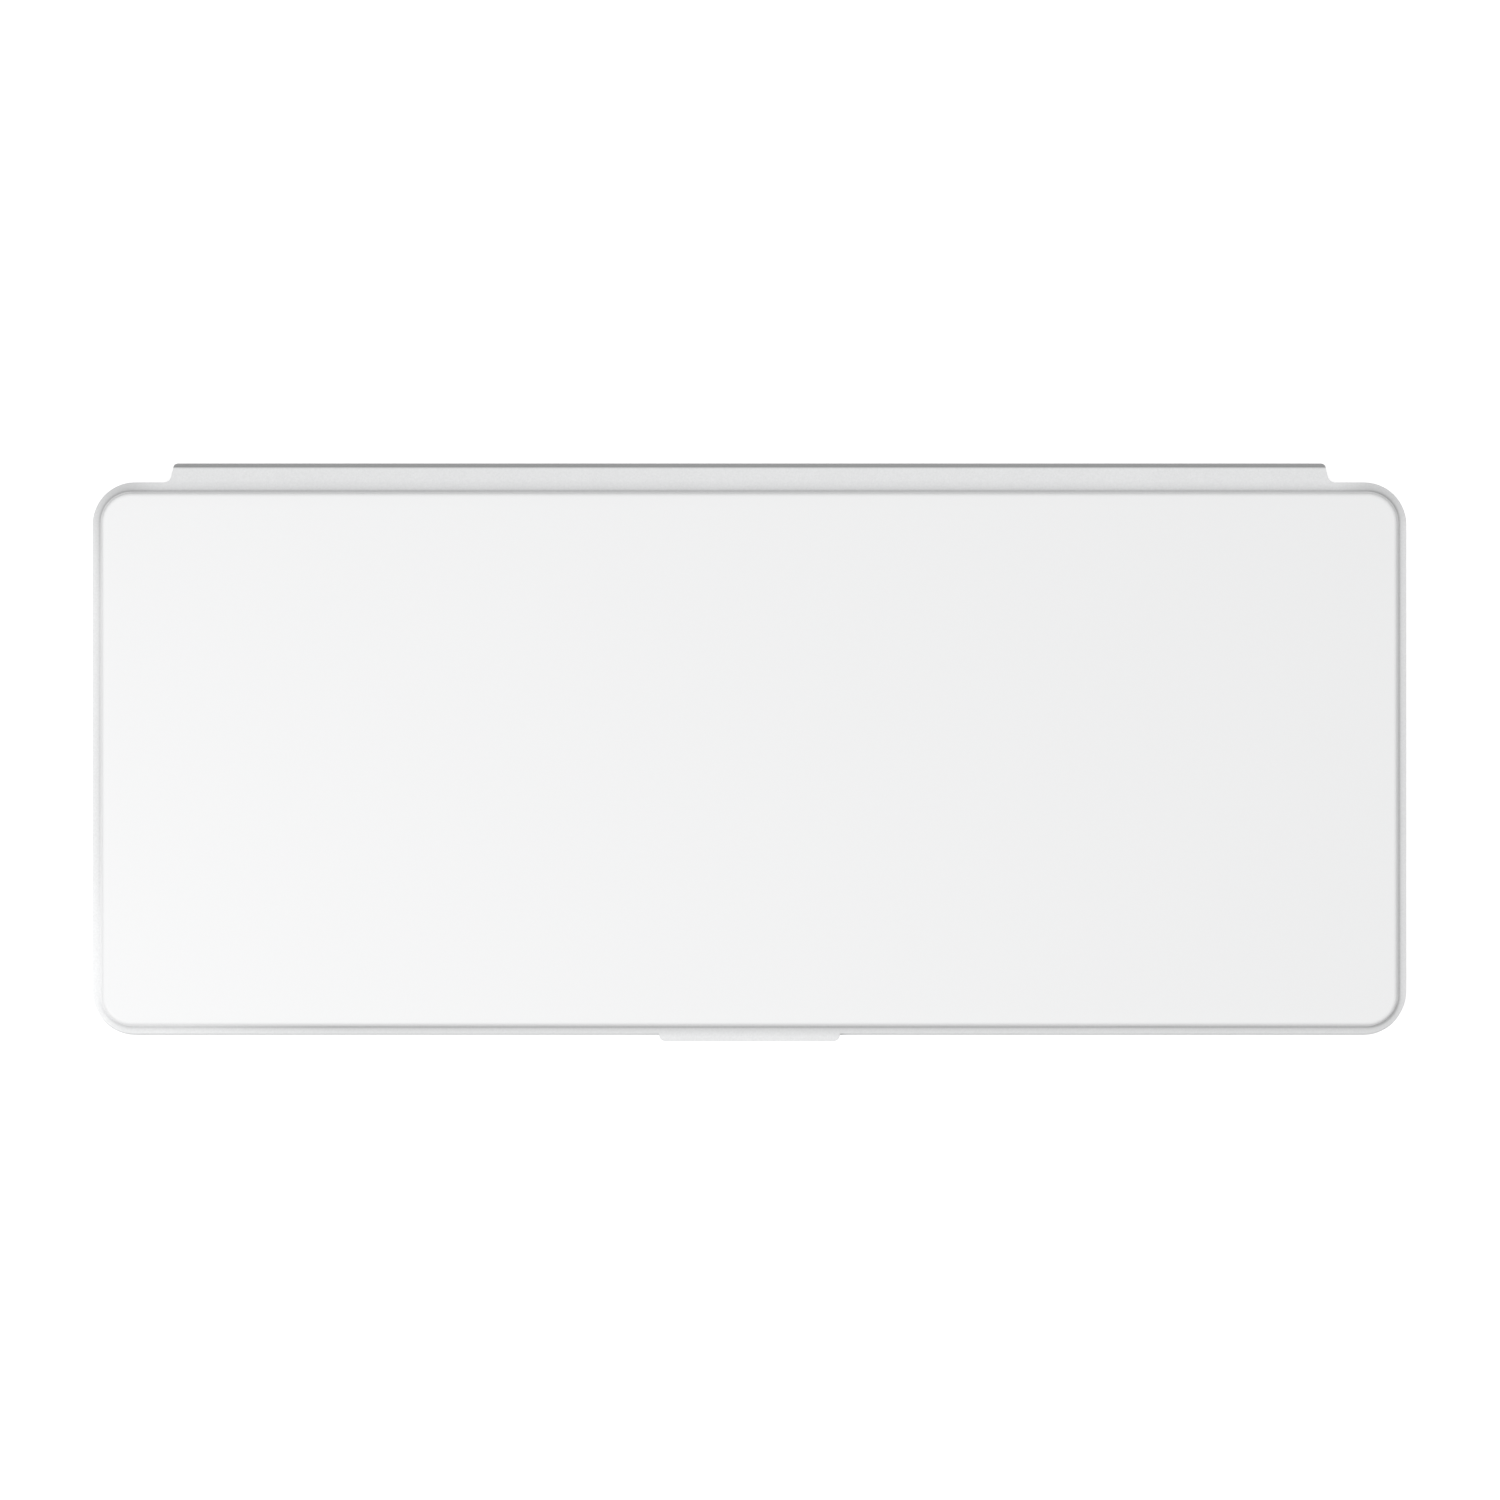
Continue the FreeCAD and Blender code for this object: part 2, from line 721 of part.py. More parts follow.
def make_key_web():
    """The sheet sunk in the bezel, which lies on its ledge, with an opening for each key."""
    body = new_body("web_blank")
    grow = less(times("2", size("field_gap")), size("fit_gap"))
    block(
        body, "Sheet", total(FIELD_WIDTH, grow), total(FIELD_DEPTH, grow),
        total(size("key_corner"), less(size("field_gap"), SQUARE_EDGE)), WEB_BOTTOM,
        size("web_thickness"), [(ZERO, FIELD_MIDDLE)],
    )
    web = doc.addObject("Part::Cut", "key_web")
    web.Label = "key_web"
    web.Base = body
    openings = copies_at(OPENINGS, "opening_", WEB_BOTTOM, draw_opening)
    web.Tool = compound("openings", list(openings.values()))
    keep(web)


def draw_opening(body, key):
    """The space that a key moves in, a little larger than its cap."""
    clear = times("2", size("opening_gap"))
    block(
        body, "Opening", total(key["width"], clear), total(key["depth"], clear),
        total(size("key_corner"), size("opening_gap")), ZERO, size("web_thickness"),
    )


def field_sheet(label, z, thickness):
    """A sheet that covers the key field and a lap all round."""
    body = new_body(label)
    lap = times("2", size("plate_lap"))
    block(
        body, "Sheet", total(FIELD_WIDTH, lap), total(FIELD_DEPTH, lap), size("key_corner"), z,
        thickness, [(ZERO, FIELD_MIDDLE)],
    )
    return body


def make_support_plate():
    """The stiff metal plate under the keys, with a slot for the circuit's tail."""
    body = field_sheet("support_plate", PLATE_BOTTOM, size("plate_thickness"))
    room = times("2", CLEARANCE)
    block(
        body, "TailSlot", total(size("tail_width"), room),
        total(size("membrane_thickness"), room), SQUARE_EDGE, PLATE_BOTTOM,
        size("plate_thickness"), [TAIL_PLACE], cut=True,
    )
    keep(body)


def make_membrane_circuit():
    """The printed contact sheet, with a tail that drops to the socket on the board."""
    body = field_sheet("membrane_circuit", SEAM, size("membrane_thickness"))
    bottom = total(BOARD_TOP, half(size("socket_height")))
    block(
        body, "Tail", size("tail_width"), size("membrane_thickness"), SQUARE_EDGE, bottom,
        less(SEAM, bottom), [TAIL_PLACE],
    )
    keep(body)


CAP_EDGES = []


def draw_keycap(body, key):
    """A key cap: a round-edged plate on a short skirt, hollow underneath.

    The edges to round have the same names on every cap, so they are looked up once.
    """
    cap = block(
        body, "Cap", key["width"], key["depth"], size("key_corner"), ZERO, size("cap_height")
    )
    if not CAP_EDGES:
        CAP_EDGES.extend(edges_at(cap, number(size("cap_height"))))
    fillet(body, "CapEdge", cap, size("cap_edge"), CAP_EDGES)
    wall = times("2", size("cap_wall"))
    block(
        body, "Hollow", less(key["width"], wall), less(key["depth"], wall),
        less(size("key_corner"), size("cap_wall")), ZERO,
        less(size("cap_height"), size("cap_roof")), cut=True,
    )


def make_keys():
    """Every key cap, alone or joined with its kind in one piece that is written out."""
    caps = copies_at(KEYS, "", CAP_BOTTOM, draw_keycap)
    grouped = [name for names in GROUPS.values() for name in names]
    for name, cap in caps.items():
        if name not in grouped:
            keep(cap)
    for label, names in GROUPS.items():
        keep(compound(label, [caps[name] for name in names]))


def plain_feature(label, shape):
    """An object whose shape is worked out here, for tilted pieces that repeat under each key."""
    feature = doc.addObject("Part::Feature", label)
    feature.Label = label
    feature.Shape = shape
    return feature


def key_place(key, z):
    """The middle of a key at a height."""
    return V(number(key["x"]), number(total(key["y"], CENTRE_Y)), z)


def link_length(key):
    """The length of the folding links under a key."""
    return number(less(key["depth"], times("2", size("link_end_gap"))))


def link_ring(width, length, tilt):
    """A flat rectangular ring about the origin, tilted about X."""
    thickness = number(size("link_thickness"))
    bar = number(size("link_bar"))

    def slab(across, along, up):
        return Part.makeBox(across, along, up, V(-across / 2, -along / 2, -up / 2))

    ring = slab(width, length, thickness)
    ring = ring.cut(slab(width - 2 * bar, length - 2 * bar, 3 * thickness))
    ring.rotate(V(0, 0, 0), V(1, 0, 0), tilt)
    return ring


def make_scissor_links():
    """Two crossed rings under each key, which fold flat as it goes down."""
    low = number(MEMBRANE_TOP)
    high = number(CAP_CEILING)
    thickness = number(size("link_thickness"))
    rise = (high - low - thickness) / 2 - number(size("link_clearance"))
    step = 2 * number(size("link_bar")) + 2 * number(size("link_side_gap"))
    rings = []
    pairs = {}
    for key in KEYS:
        length = link_length(key)
        if length not in pairs:
            width = number(size("link_width"))
            tilt = math.degrees(math.asin(2 * rise / length))
            pairs[length] = [
                link_ring(width, length, tilt), link_ring(width - step, length, -tilt)
            ]
        place = key_place(key, (low + high) / 2)
        rings += [ring.translated(place) for ring in pairs[length]]
    keep(plain_feature("scissor_links", Part.makeCompound(rings)))


def make_rubber_domes():
    """A hollow rubber dome in the middle of each pair of links."""
    height = number(less(CAP_CEILING, MEMBRANE_TOP, size("link_clearance")))
    wall = number(size("dome_wall"))
    taper = number(size("dome_taper"))
    margin = number(total(size("link_bar"), size("dome_gap")))
    domes = []
    for key in KEYS:
        radius = min(number(size("dome_radius")), link_length(key) / 2 - margin)
        outer = Part.makeCone(radius, radius * taper, height)
        inner = Part.makeCone(radius - wall, radius * taper - wall, height - wall)
        domes.append(outer.cut(inner).translated(key_place(key, number(MEMBRANE_TOP))))
    keep(plain_feature("rubber_domes", Part.makeCompound(domes)))


def make_space_stabiliser():
    """The bent wire under the space bar that keeps it level."""
    space = next(key for key in KEYS if key["name"] == "key_space")
    body = new_body("space_stabiliser")
    wire = size("stabiliser_wire")
    edge = half(less(wire, size("spine_gap")))
    z = less(CAP_CEILING, wire, size("link_clearance"))
    run = less(space["width"], times("2", size("stabiliser_inset")))
    # The long run lies just inside the skirt, clear of the links, with an arm at each end
    reach = less(half(space["depth"]), size("cap_wall"), size("fit_gap"))
    run_y = total(space["y"], less(reach, half(wire)))
    block(body, "Run", run, wire, edge, z, wire, [(space["x"], run_y)])
    aside = half(less(run, wire))
    ends = [(less(space["x"], aside), space["y"]), (total(space["x"], aside), space["y"])]
    block(body, "Arms", wire, times("2", reach), edge, z, wire, ends)
    keep(body)


def make_circuit_board():
    """The board behind the cells with the parts soldered on it, and the switch block."""
    lift = total(FLOOR_TOP, size("board_lift"))
    middle = (ZERO, BOARD_Y)
    switch_x = less(
        half(size("base_width")), size("wall_thickness"), size("switch_flange"),
        times("2", size("fit_gap")), half(size("switch_block_width")),
    )
    pieces = []
    for name, width, depth, z, height, place in (
        ("board", size("board_width"), size("board_depth"), lift, size("board_thickness"), middle),
        ("chip", size("chip_side"), size("chip_side"), BOARD_TOP, size("chip_height"), middle),
        (
            "radio", size("radio_width"), size("radio_depth"), BOARD_TOP, size("radio_height"),
            (less(ZERO, size("radio_offset")), BOARD_Y),
        ),
        (
            "socket", size("socket_width"), size("socket_depth"), BOARD_TOP,
            size("socket_height"), (size("socket_offset"), BOARD_Y),
        ),
        ("light", size("led_width"), size("led_depth"), BOARD_TOP, size("led_height"), LENS_PLACE),
        (
            "switch_block", size("switch_block_width"), size("switch_slot_length"), FLOOR_TOP,
            less(size("bay_height"), size("fit_gap")), (switch_x, SWITCH_Y),
        ),
    ):
        piece = new_body(name)
        block(piece, "Block", width, depth, SQUARE_EDGE, z, height, [place])
        pieces.append(piece)
    keep(compound("circuit_board", pieces))


def make_coin_cells():
    """Two button cells side by side on the battery door."""
    body = new_body("coin_cells")
    body.AllowCompound = True
    post(body, "Cells", size("cell_radius"), FLOOR_TOP, size("cell_height"), CELL_PLACES)
    keep(body)


def make_battery_contacts():
    """A spring strip over each cell and a bent tab at its side, both ending on the board."""
    body = new_body("battery_contacts")
    body.AllowCompound = True
    thickness = size("contact_thickness")
    cell_top = total(FLOOR_TOP, size("cell_height"))
    board_front = less(BOARD_Y, half(size("board_depth")))
    strip_rear = total(board_front, size("contact_overlap"))
    foot_depth = half(size("contact_overlap"))
    side_front = total(CELL_Y, size("cell_radius"), SQUARE_EDGE)
    tab_rear = total(board_front, size("side_contact_lap"))
    for name, front, rear, z, top in (
        ("Strip", CELL_Y, strip_rear, cell_top, total(cell_top, thickness)),
        ("StripFoot", less(strip_rear, foot_depth), strip_rear, BOARD_TOP, cell_top),
        ("Side", side_front, total(side_front, thickness), total(FLOOR_TOP, thickness), BOARD_TOP),
        ("SideTab", side_front, tab_rear, BOARD_TOP, total(BOARD_TOP, thickness)),
    ):
        middle_y = half(total(front, rear))
        places = pair(half(size("cell_spacing")), middle_y)
        block(
            body, name, size("contact_width"), less(rear, front), SQUARE_EDGE, z, less(top, z),
            places,
        )
    keep(body)


def make_battery_door():
    """The flush door under the cells, with a screwed ear at each end."""
    body = new_body("battery_door")
    middle = [(ZERO, CELL_Y)]
    flange_width = total(size("door_plug_width"), times("2", size("door_flange")))
    flange_depth = total(size("door_plug_depth"), size("door_flange"))
    block(
        body, "Flange", flange_width, flange_depth, size("door_corner"), TRAY_BOTTOM,
        size("door_flange_thickness"), middle,
    )
    plug_bottom = total(TRAY_BOTTOM, size("door_flange_thickness"))
    block(
        body, "Plug", size("door_plug_width"), size("door_plug_depth"), size("door_corner"),
        plug_bottom, less(FLOOR_TOP, plug_bottom), middle,
    )
    post(
        body, "Holes", SCREW_HOLE, TRAY_BOTTOM, size("door_flange_thickness"),
        DOOR_SCREW_PLACES, cut=True,
    )
    post(
        body, "HeadSeats", HEAD_SEAT, TRAY_BOTTOM, size("screw_head_height"),
        DOOR_SCREW_PLACES, cut=True,
    )
    keep(body)


def make_screws():
    """Eight housing screws and two door screws, all driven from below."""
    body = new_body("screws")
    body.AllowCompound = True
    length = less(total(SEAM, size("screw_bite")), TRAY_BOTTOM, size("fit_gap"))
    post(body, "Shanks", size("screw_radius"), TRAY_BOTTOM, length, SCREW_PLACES)
    post(
        body, "DoorShanks", size("screw_radius"), TRAY_BOTTOM, size("door_screw_length"),
        DOOR_SCREW_PLACES,
    )
    post(
        body, "Heads", size("screw_head_radius"), TRAY_BOTTOM, size("screw_head_height"),
        SCREW_PLACES + DOOR_SCREW_PLACES,
    )
    keep(body)


def make_power_switch():
    """The sliding knob in the right wall, held by a flange inside the wall."""
    body = new_body("power_switch")
    slot_length = size("switch_slot_length")
    length = less(slot_length, size("switch_travel"), size("fit_gap"))
    height = less(size("switch_slot_height"), CLEARANCE)
    middle = (less(SWITCH_Y, half(less(slot_length, length, size("fit_gap")))), SWITCH_Z)
    wall_inside = less(half(size("base_width")), size("wall_thickness"), size("fit_gap"))
    knob = new_sketch(body, "Knob", wall_inside, "YZ_Plane")
    draw_rounded_rectangle(knob, length, height, half(less(height, size("fit_gap"))), middle)
    pad(body, "Knob", knob, total(size("wall_thickness"), size("fit_gap")))
    flange = new_sketch(body, "Flange", less(wall_inside, size("switch_flange")), "YZ_Plane")
    draw_rounded_rectangle(
        flange, total(length, times("2", size("switch_flange_lap"))),
        less(SEAM, FLOOR_TOP, CLEARANCE), SQUARE_EDGE, middle,
    )
    pad(body, "Flange", flange, size("switch_flange"))
    keep(body)


def make_indicator_lens():
    """The clear light pipe from the board's light to the bezel."""
    body = new_body("indicator_lens")
    post(
        body, "Pipe", size("lens_radius"), LENS_BOTTOM, less(BEZEL_TOP, LENS_BOTTOM),
        [LENS_PLACE],
    )
    keep(body)


def make_rubber_feet():
    """Four round-ended feet in seats under the tray."""
    body = new_body("rubber_feet")
    body.AllowCompound = True
    block(
        body, "Feet", size("foot_length"), size("foot_width"),
        half(less(size("foot_width"), size("fit_gap"))), ZERO,
        total(size("foot_height"), size("foot_seat")), FOOT_PLACES,
    )
    keep(body)


def make_magnets(label, top, height):
    """Two bar magnets near the front edge, hung from a level."""
    body = new_body(label)
    body.AllowCompound = True
    block(
        body, "Magnets", size("magnet_length"), size("magnet_width"), SQUARE_EDGE,
        less(top, height), height, MAGNET_PLACES,
    )
    keep(body)


def make_cover_skin():
    """The soft sheet that shows as the cover's rim, with the pull tab at its front edge."""
    body = new_body("cover_skin")
    block(
        body, "Rim", size("base_width"), COVER_DEPTH, size("corner_radius"), SKIN_BOTTOM,
        size("skin_thickness"), [COVER_MIDDLE],
    )
    tab_front = less(FRONT_FACE, size("tab_reach"))
    tab_rear = total(FRONT_FACE, size("cover_setback"), times("2", size("tab_corner")))
    tab = block(
        body, "Tab", size("tab_width"), less(tab_rear, tab_front), size("tab_corner"),
        SKIN_BOTTOM, size("skin_thickness"), [(ZERO, half(total(tab_rear, tab_front)))],
    )
    fillet(body, "TopEdge", tab, size("skin_edge"), edges_at(tab, number(SKIN_TOP)))
    block(
        body, "MagnetPockets", total(size("magnet_length"), size("fit_gap")),
        total(size("magnet_width"), size("fit_gap")), SQUARE_EDGE, SKIN_BOTTOM,
        size("cover_magnet_height"), MAGNET_PLACES, cut=True,
    )
    keep(body)


def make_cover_panel():
    """The raised stiff panel, bare, with its edge rounded over."""
    body = new_body("cover_panel")
    front = total(FRONT_FACE, size("cover_setback"), size("rim_front"))
    rear = less(REAR_FACE, size("rim_rear"))
    panel = block(
        body, "Panel", less(size("base_width"), times("2", size("rim_side"))),
        less(rear, front), less(size("corner_radius"), size("panel_corner_inset")), SKIN_TOP,
        size("panel_raise"), [(ZERO, half(total(rear, front)))],
    )
    fillet(body, "PanelEdge", panel, size("panel_edge"), edges_at(panel, number(PANEL_TOP)))
    keep(body)


def make_cover_liner():
    """The lining that faces the keys, with a shallow seat for each pad."""
    body = new_body("cover_liner")
    grow = times("2", size("liner_inset"))
    block(
        body, "Liner", less(size("base_width"), grow), less(COVER_DEPTH, grow),
        less(size("corner_radius"), size("liner_inset")), COVER_BOTTOM,
        size("liner_thickness"), [COVER_MIDDLE],
    )
    block(
        body, "PadSeats", total(size("pad_width"), CLEARANCE),
        total(size("pad_length"), CLEARANCE), half(size("pad_width")), COVER_BOTTOM,
        size("pad_seat"), PAD_PLACES, cut=True,
    )
    keep(body)


def make_cover_pads():
    """Four soft pads that rest on the bezel, and on the desk when the cover is folded under."""
    body = new_body("cover_pads")
    body.AllowCompound = True
    bottom = total(BEZEL_TOP, size("pad_clearance"))
    block(
        body, "Pads", size("pad_width"), size("pad_length"),
        half(less(size("pad_width"), size("fit_gap"))), bottom,
        less(total(COVER_BOTTOM, size("pad_seat")), bottom), PAD_PLACES,
    )
    keep(body)


def make_spine_skin():
    """The soft fold behind the base: an upper leaf, a back and a lower leaf glued in the tray."""
    body = new_body("spine_skin")
    rear = total(REAR_FACE, size("spine_reach"))
    front = less(REAR_FACE, size("leaf_bite"))
    # A closed ring is drawn longer than needed, then its front is cut away
    spare = times("2", size("bend_radius"))
    depth = total(less(rear, front), spare)
    height = less(SKIN_TOP, LEAF_BOTTOM)
    middle = (less(rear, half(depth)), half(total(SKIN_TOP, LEAF_BOTTOM)))
    wall = times("2", size("leaf_thickness"))
    outer = new_sketch(body, "Back", SPINE_LEFT, "YZ_Plane")
    draw_rounded_rectangle(outer, depth, height, size("bend_radius"), middle)
    pad(body, "Back", outer, size("spine_width"))
    inner = new_sketch(body, "Inside", SPINE_LEFT, "YZ_Plane")
    draw_rounded_rectangle(
        inner, less(depth, wall), less(height, wall),
        less(size("bend_radius"), size("leaf_thickness")), middle,
    )
    pocket(body, "Inside", inner, size("spine_width"))
    width = times("2", size("spine_width"))
    block(
        body, "LowerTrim", width, times("2", spare), SQUARE_EDGE, ZERO, PANEL_TOP,
        [(ZERO, less(front, spare))], cut=True,
    )
    # The upper leaf starts behind the cover's rear edge
    upper_front = total(REAR_FACE, size("spine_gap"))
    block(
        body, "UpperTrim", width, less(upper_front, front), half(SQUARE_EDGE), middle[1],
        PANEL_TOP, [(ZERO, half(total(front, upper_front)))], cut=True,
    )
    keep(body)


def make_spine_strip():
    """The stiff strip inside the spine, round-edged along the two folds."""
    body = new_body("spine_strip")
    length = less(UPPER_PIVOT_Z, LOWER_PIVOT_Z, times("2", size("strip_end_gap")))
    strip = new_sketch(body, "Strip", total(SPINE_LEFT, size("fit_gap")), "YZ_Plane")
    draw_rounded_rectangle(
        strip, size("strip_thickness"), length,
        half(less(size("strip_thickness"), size("spine_gap"))),
        (PIVOT_Y, half(total(UPPER_PIVOT_Z, LOWER_PIVOT_Z))),
    )
    pad(body, "Strip", strip, less(size("spine_width"), CLEARANCE))
    keep(body)


make_base_tray()
make_key_deck()
make_key_web()
make_support_plate()
make_membrane_circuit()
make_keys()
make_scissor_links()
make_rubber_domes()
make_space_stabiliser()
make_circuit_board()
make_coin_cells()
make_battery_contacts()
make_battery_door()
make_screws()
make_power_switch()
make_indicator_lens()
make_rubber_feet()
make_magnets("base_magnets", less(BEZEL_TOP, size("magnet_skin")), size("magnet_height"))
make_cover_skin()
make_cover_panel()
make_cover_liner()
make_magnets(
    "cover_magnets", total(SKIN_BOTTOM, size("cover_magnet_height")),
    size("cover_magnet_height"),
)
make_cover_pads()
make_spine_skin()
make_spine_strip()
doc.recompute()


def check_model():
    """Stops if an object failed, a cut removed nothing, or a piece is not a sound solid."""
    for item in doc.Objects:
        if "Invalid" in item.State or "Error" in item.State:
            raise RuntimeError(f"{item.Label} ({item.Name}) failed: {item.State}")
        if item.TypeId == "PartDesign::Pocket":
            if item.Shape.Volume >= item.BaseFeature.Shape.Volume:
                raise RuntimeError(f"{item.Name} cut nothing")
    for label, item in parts.items():
        shape = item.Shape
        if shape.isNull() or not shape.isValid() or not shape.Solids:
            raise RuntimeError(f"{label} has no valid solid")


check_model()
os.makedirs("parts", exist_ok=True)
for label, item in parts.items():
    item.Shape.exportStep(os.path.join("parts", label + ".step"))
print(len(parts), "pieces written")
print("folds at y", round(number(total(PIVOT_Y, CENTRE_Y)), 3),
      "z", round(number(LOWER_PIVOT_Z), 3), round(number(UPPER_PIVOT_Z), 3))
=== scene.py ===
# %% [markdown]
# A slim travel keyboard, shut under its folding cover
#
# The keyboard lies closed on a white table, so what shows first is its cover: a stiff pale panel
# on a sheet of soft skin that runs over the rear edge as a spine. Under the cover are the deck,
# the key caps and the small parts that a keyboard needs.
#
# The frame is the engineering model. It fixes every size and every joint, and the pieces made
# here only dress it. So the first step is to load it and to note its box.

# %% Load the frame
from math import cos, pi, radians, sin, sqrt, tan

import bmesh
import bpy
from bmesh.types import BMEdge, BMFace, BMVert
from mathutils import Matrix, Vector


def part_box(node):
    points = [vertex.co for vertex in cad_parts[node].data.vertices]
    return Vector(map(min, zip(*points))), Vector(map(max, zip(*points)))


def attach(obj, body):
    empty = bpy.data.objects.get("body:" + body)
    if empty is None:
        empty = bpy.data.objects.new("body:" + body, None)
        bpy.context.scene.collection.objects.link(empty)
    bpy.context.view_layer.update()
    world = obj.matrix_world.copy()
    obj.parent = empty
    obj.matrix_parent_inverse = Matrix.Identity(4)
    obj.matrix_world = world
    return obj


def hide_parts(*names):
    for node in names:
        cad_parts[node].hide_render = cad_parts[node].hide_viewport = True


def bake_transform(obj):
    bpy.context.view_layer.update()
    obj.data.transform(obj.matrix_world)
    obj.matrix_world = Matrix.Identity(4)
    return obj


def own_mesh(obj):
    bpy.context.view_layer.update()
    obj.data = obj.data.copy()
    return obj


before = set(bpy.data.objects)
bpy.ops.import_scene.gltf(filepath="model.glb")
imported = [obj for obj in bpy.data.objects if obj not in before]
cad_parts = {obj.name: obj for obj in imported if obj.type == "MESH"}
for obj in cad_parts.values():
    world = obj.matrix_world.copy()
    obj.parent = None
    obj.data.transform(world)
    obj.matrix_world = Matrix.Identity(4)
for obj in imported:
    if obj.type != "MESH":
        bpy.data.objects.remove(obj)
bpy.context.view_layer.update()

MM = 0.001

# %% [markdown]
# Measures from the frame
#
# All sizes below are in millimetres, because that is how such a product is drawn. Places are
# read from the frame's boxes where a piece has to fit another, so nothing is fitted by eye.


# %% Read places in millimetres
def box_mm(node):
    """The lowest and highest corner of a frame node, in millimetres."""
    low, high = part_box(node)
    return low / MM, high / MM


skin_low, skin_high = box_mm("cover_skin")
panel_low, panel_high = box_mm("cover_panel")
liner_low, liner_high = box_mm("cover_liner")
spine_low, spine_high = box_mm("spine_skin")
deck_low, deck_high = box_mm("key_deck")

BASE_HALF = deck_high.x
REAR_FACE = deck_high.y
FRONT_FACE = deck_low.y
LEDGE = 0.4
COVER_FRONT = FRONT_FACE + LEDGE
BEND = 0.9
FOLD_Y = spine_high.y - BEND
print("base", round(2 * BASE_HALF, 2), "x", round(REAR_FACE - FRONT_FACE, 2),
      "mm, spine reaches", round(spine_high.y - REAR_FACE, 2), "mm behind it")

# %% [markdown]
# Writing shader maths as Python
#
# A finish is a graph of nodes. Wiring it by hand hides the idea, so a small class wraps a node's
# output: adding or multiplying two of them adds the Math node that does it. Every other node
# comes from the method `node`, which sets the node's own settings first and then its sockets.


# %% A signal in a shader graph
class Signal:
    """A node's output, which can be used in Python sums."""

    def __init__(self, tree, socket=None):
        self.tree = tree
        self.socket = socket

    def node(self, kind, values=None, output=0, **settings):
        made = self.tree.nodes.new(kind)
        for name, value in settings.items():
            setattr(made, name, value)
        for name, value in (values or {}).items():
            if isinstance(value, Signal):
                self.tree.links.new(value.socket, made.inputs[name])
            else:
                made.inputs[name].default_value = value
        return Signal(self.tree, made.outputs[output])

    def maths(self, operation, first, second=0.0):
        return self.node("ShaderNodeMath", {0: first, 1: second}, operation=operation)

    def __add__(self, other):
        return self.maths("ADD", self, other)

    def __radd__(self, other):
        return self.maths("ADD", other, self)

    def __sub__(self, other):
        return self.maths("SUBTRACT", self, other)

    def __rsub__(self, other):
        return self.maths("SUBTRACT", other, self)

    def __mul__(self, other):
        return self.maths("MULTIPLY", self, other)

    def __rmul__(self, other):
        return self.maths("MULTIPLY", other, self)

    def __gt__(self, other):
        return self.maths("GREATER_THAN", self, other)


def axis(vector, name):
    """The X, Y or Z of a vector."""
    return vector.node("ShaderNodeSeparateXYZ", {0: vector}, output=name)


def feed(signal, socket):
    """Links a signal to a socket of a shader."""
    signal.tree.links.new(signal.socket, socket)


print("shader signals ready")

# %% [markdown]
# Moulded and pressed surfaces
#
# Nearly everything here is a plain pale material whose charm is in fine detail: a spark-eroded
# grain on the housing, a soft pebble on the skin. One recipe serves them: noise in object
# coordinates drives a small bump, a small change of colour and a small change of roughness. The
# recipe takes the grain's size in millimetres, so each finish keeps its real scale.


# %% A new finish, its noise and its bump
def new_finish(name):
    """A material, the sockets of its shader, and the place on the piece."""
    finish = bpy.data.materials.new(name)
    finish.use_nodes = True
    place = Signal(finish.node_tree).node("ShaderNodeTexCoord", output="Object")
    return finish, finish.node_tree.nodes["Principled BSDF"].inputs, place


def noise(place, size, detail=3.0, roughness=0.6):
    """Noise with lumps of the given size in millimetres."""
    return place.node("ShaderNodeTexNoise", {
        "Vector": place, "Scale": 1 / (size * MM), "Detail": detail, "Roughness": roughness,
    })


def bump(height, depth):
    """A bump of the given depth in millimetres."""
    return height.node("ShaderNodeBump", {
        "Strength": 1.0, "Distance": depth * MM, "Height": height,
    })


def grey(level, warm=0.0):
    """A grey as linear colour, a touch warm above zero and cool below."""
    return (level * (1 + warm), level, level * (1 - warm), 1)


# %% The recipe for a grained finish
GRAIN_GLOSS = 0.12


def grained(name, colour, roughness, grain, depth, tint=0.03, cloud=12.0, mottle=0.02,
            painted_shade=None):
    """A finish with a fine grain of the given size and depth, and broad faint clouds.

    Painted shade, if given, turns a place into the level by which the colour is multiplied.
    """
    finish, sockets, place = new_finish(name)
    fine = noise(place, grain)
    broad = noise(place, cloud, detail=2.0, roughness=0.5)
    level = 1.0 + (fine - 0.5) * (2 * tint) + (broad - 0.5) * (2 * mottle)
    # Painted shade and painted light, where a finish has them, multiply its colour.
    if painted_shade:
        level = level * painted_shade(place)
    tone = place.node("ShaderNodeCombineColor", {0: level, 1: level, 2: level})
    shade = place.node("ShaderNodeMix", {0: 1.0, 6: colour, 7: tone}, output=2,
                       data_type="RGBA", blend_type="MULTIPLY")
    feed(shade, sockets["Base Color"])
    feed(roughness + (fine - 0.5) * GRAIN_GLOSS, sockets["Roughness"])
    feed(bump(fine, depth), sockets["Normal"])
    return finish


housing = grained("housing_plastic", grey(0.74, -0.006), 0.5, grain=0.22, depth=0.006,
                  mottle=0.01)
key_plastic = grained("key_plastic", grey(0.85, -0.003), 0.45, grain=0.16, depth=0.003,
                      tint=0.02, mottle=0.01)
rubber = grained("grip_rubber", grey(0.16), 0.75, grain=0.3, depth=0.01, tint=0.08)
dome_rubber = grained("dome_rubber", grey(0.55, 0.02), 0.5, grain=0.5, depth=0.004)
link_plastic = grained("link_plastic", grey(0.6), 0.4, grain=0.4, depth=0.003)
strip_plastic = grained("strip_plastic", grey(0.52), 0.5, grain=0.4, depth=0.004)
switch_plastic = grained("switch_plastic", grey(0.34), 0.45, grain=0.2, depth=0.004)
ink = grained("legend_ink", grey(0.11), 0.55, grain=0.2, depth=0.001)
film = grained("circuit_film", (0.5, 0.55, 0.56, 1), 0.25, grain=4.0, depth=0.001, tint=0.05)
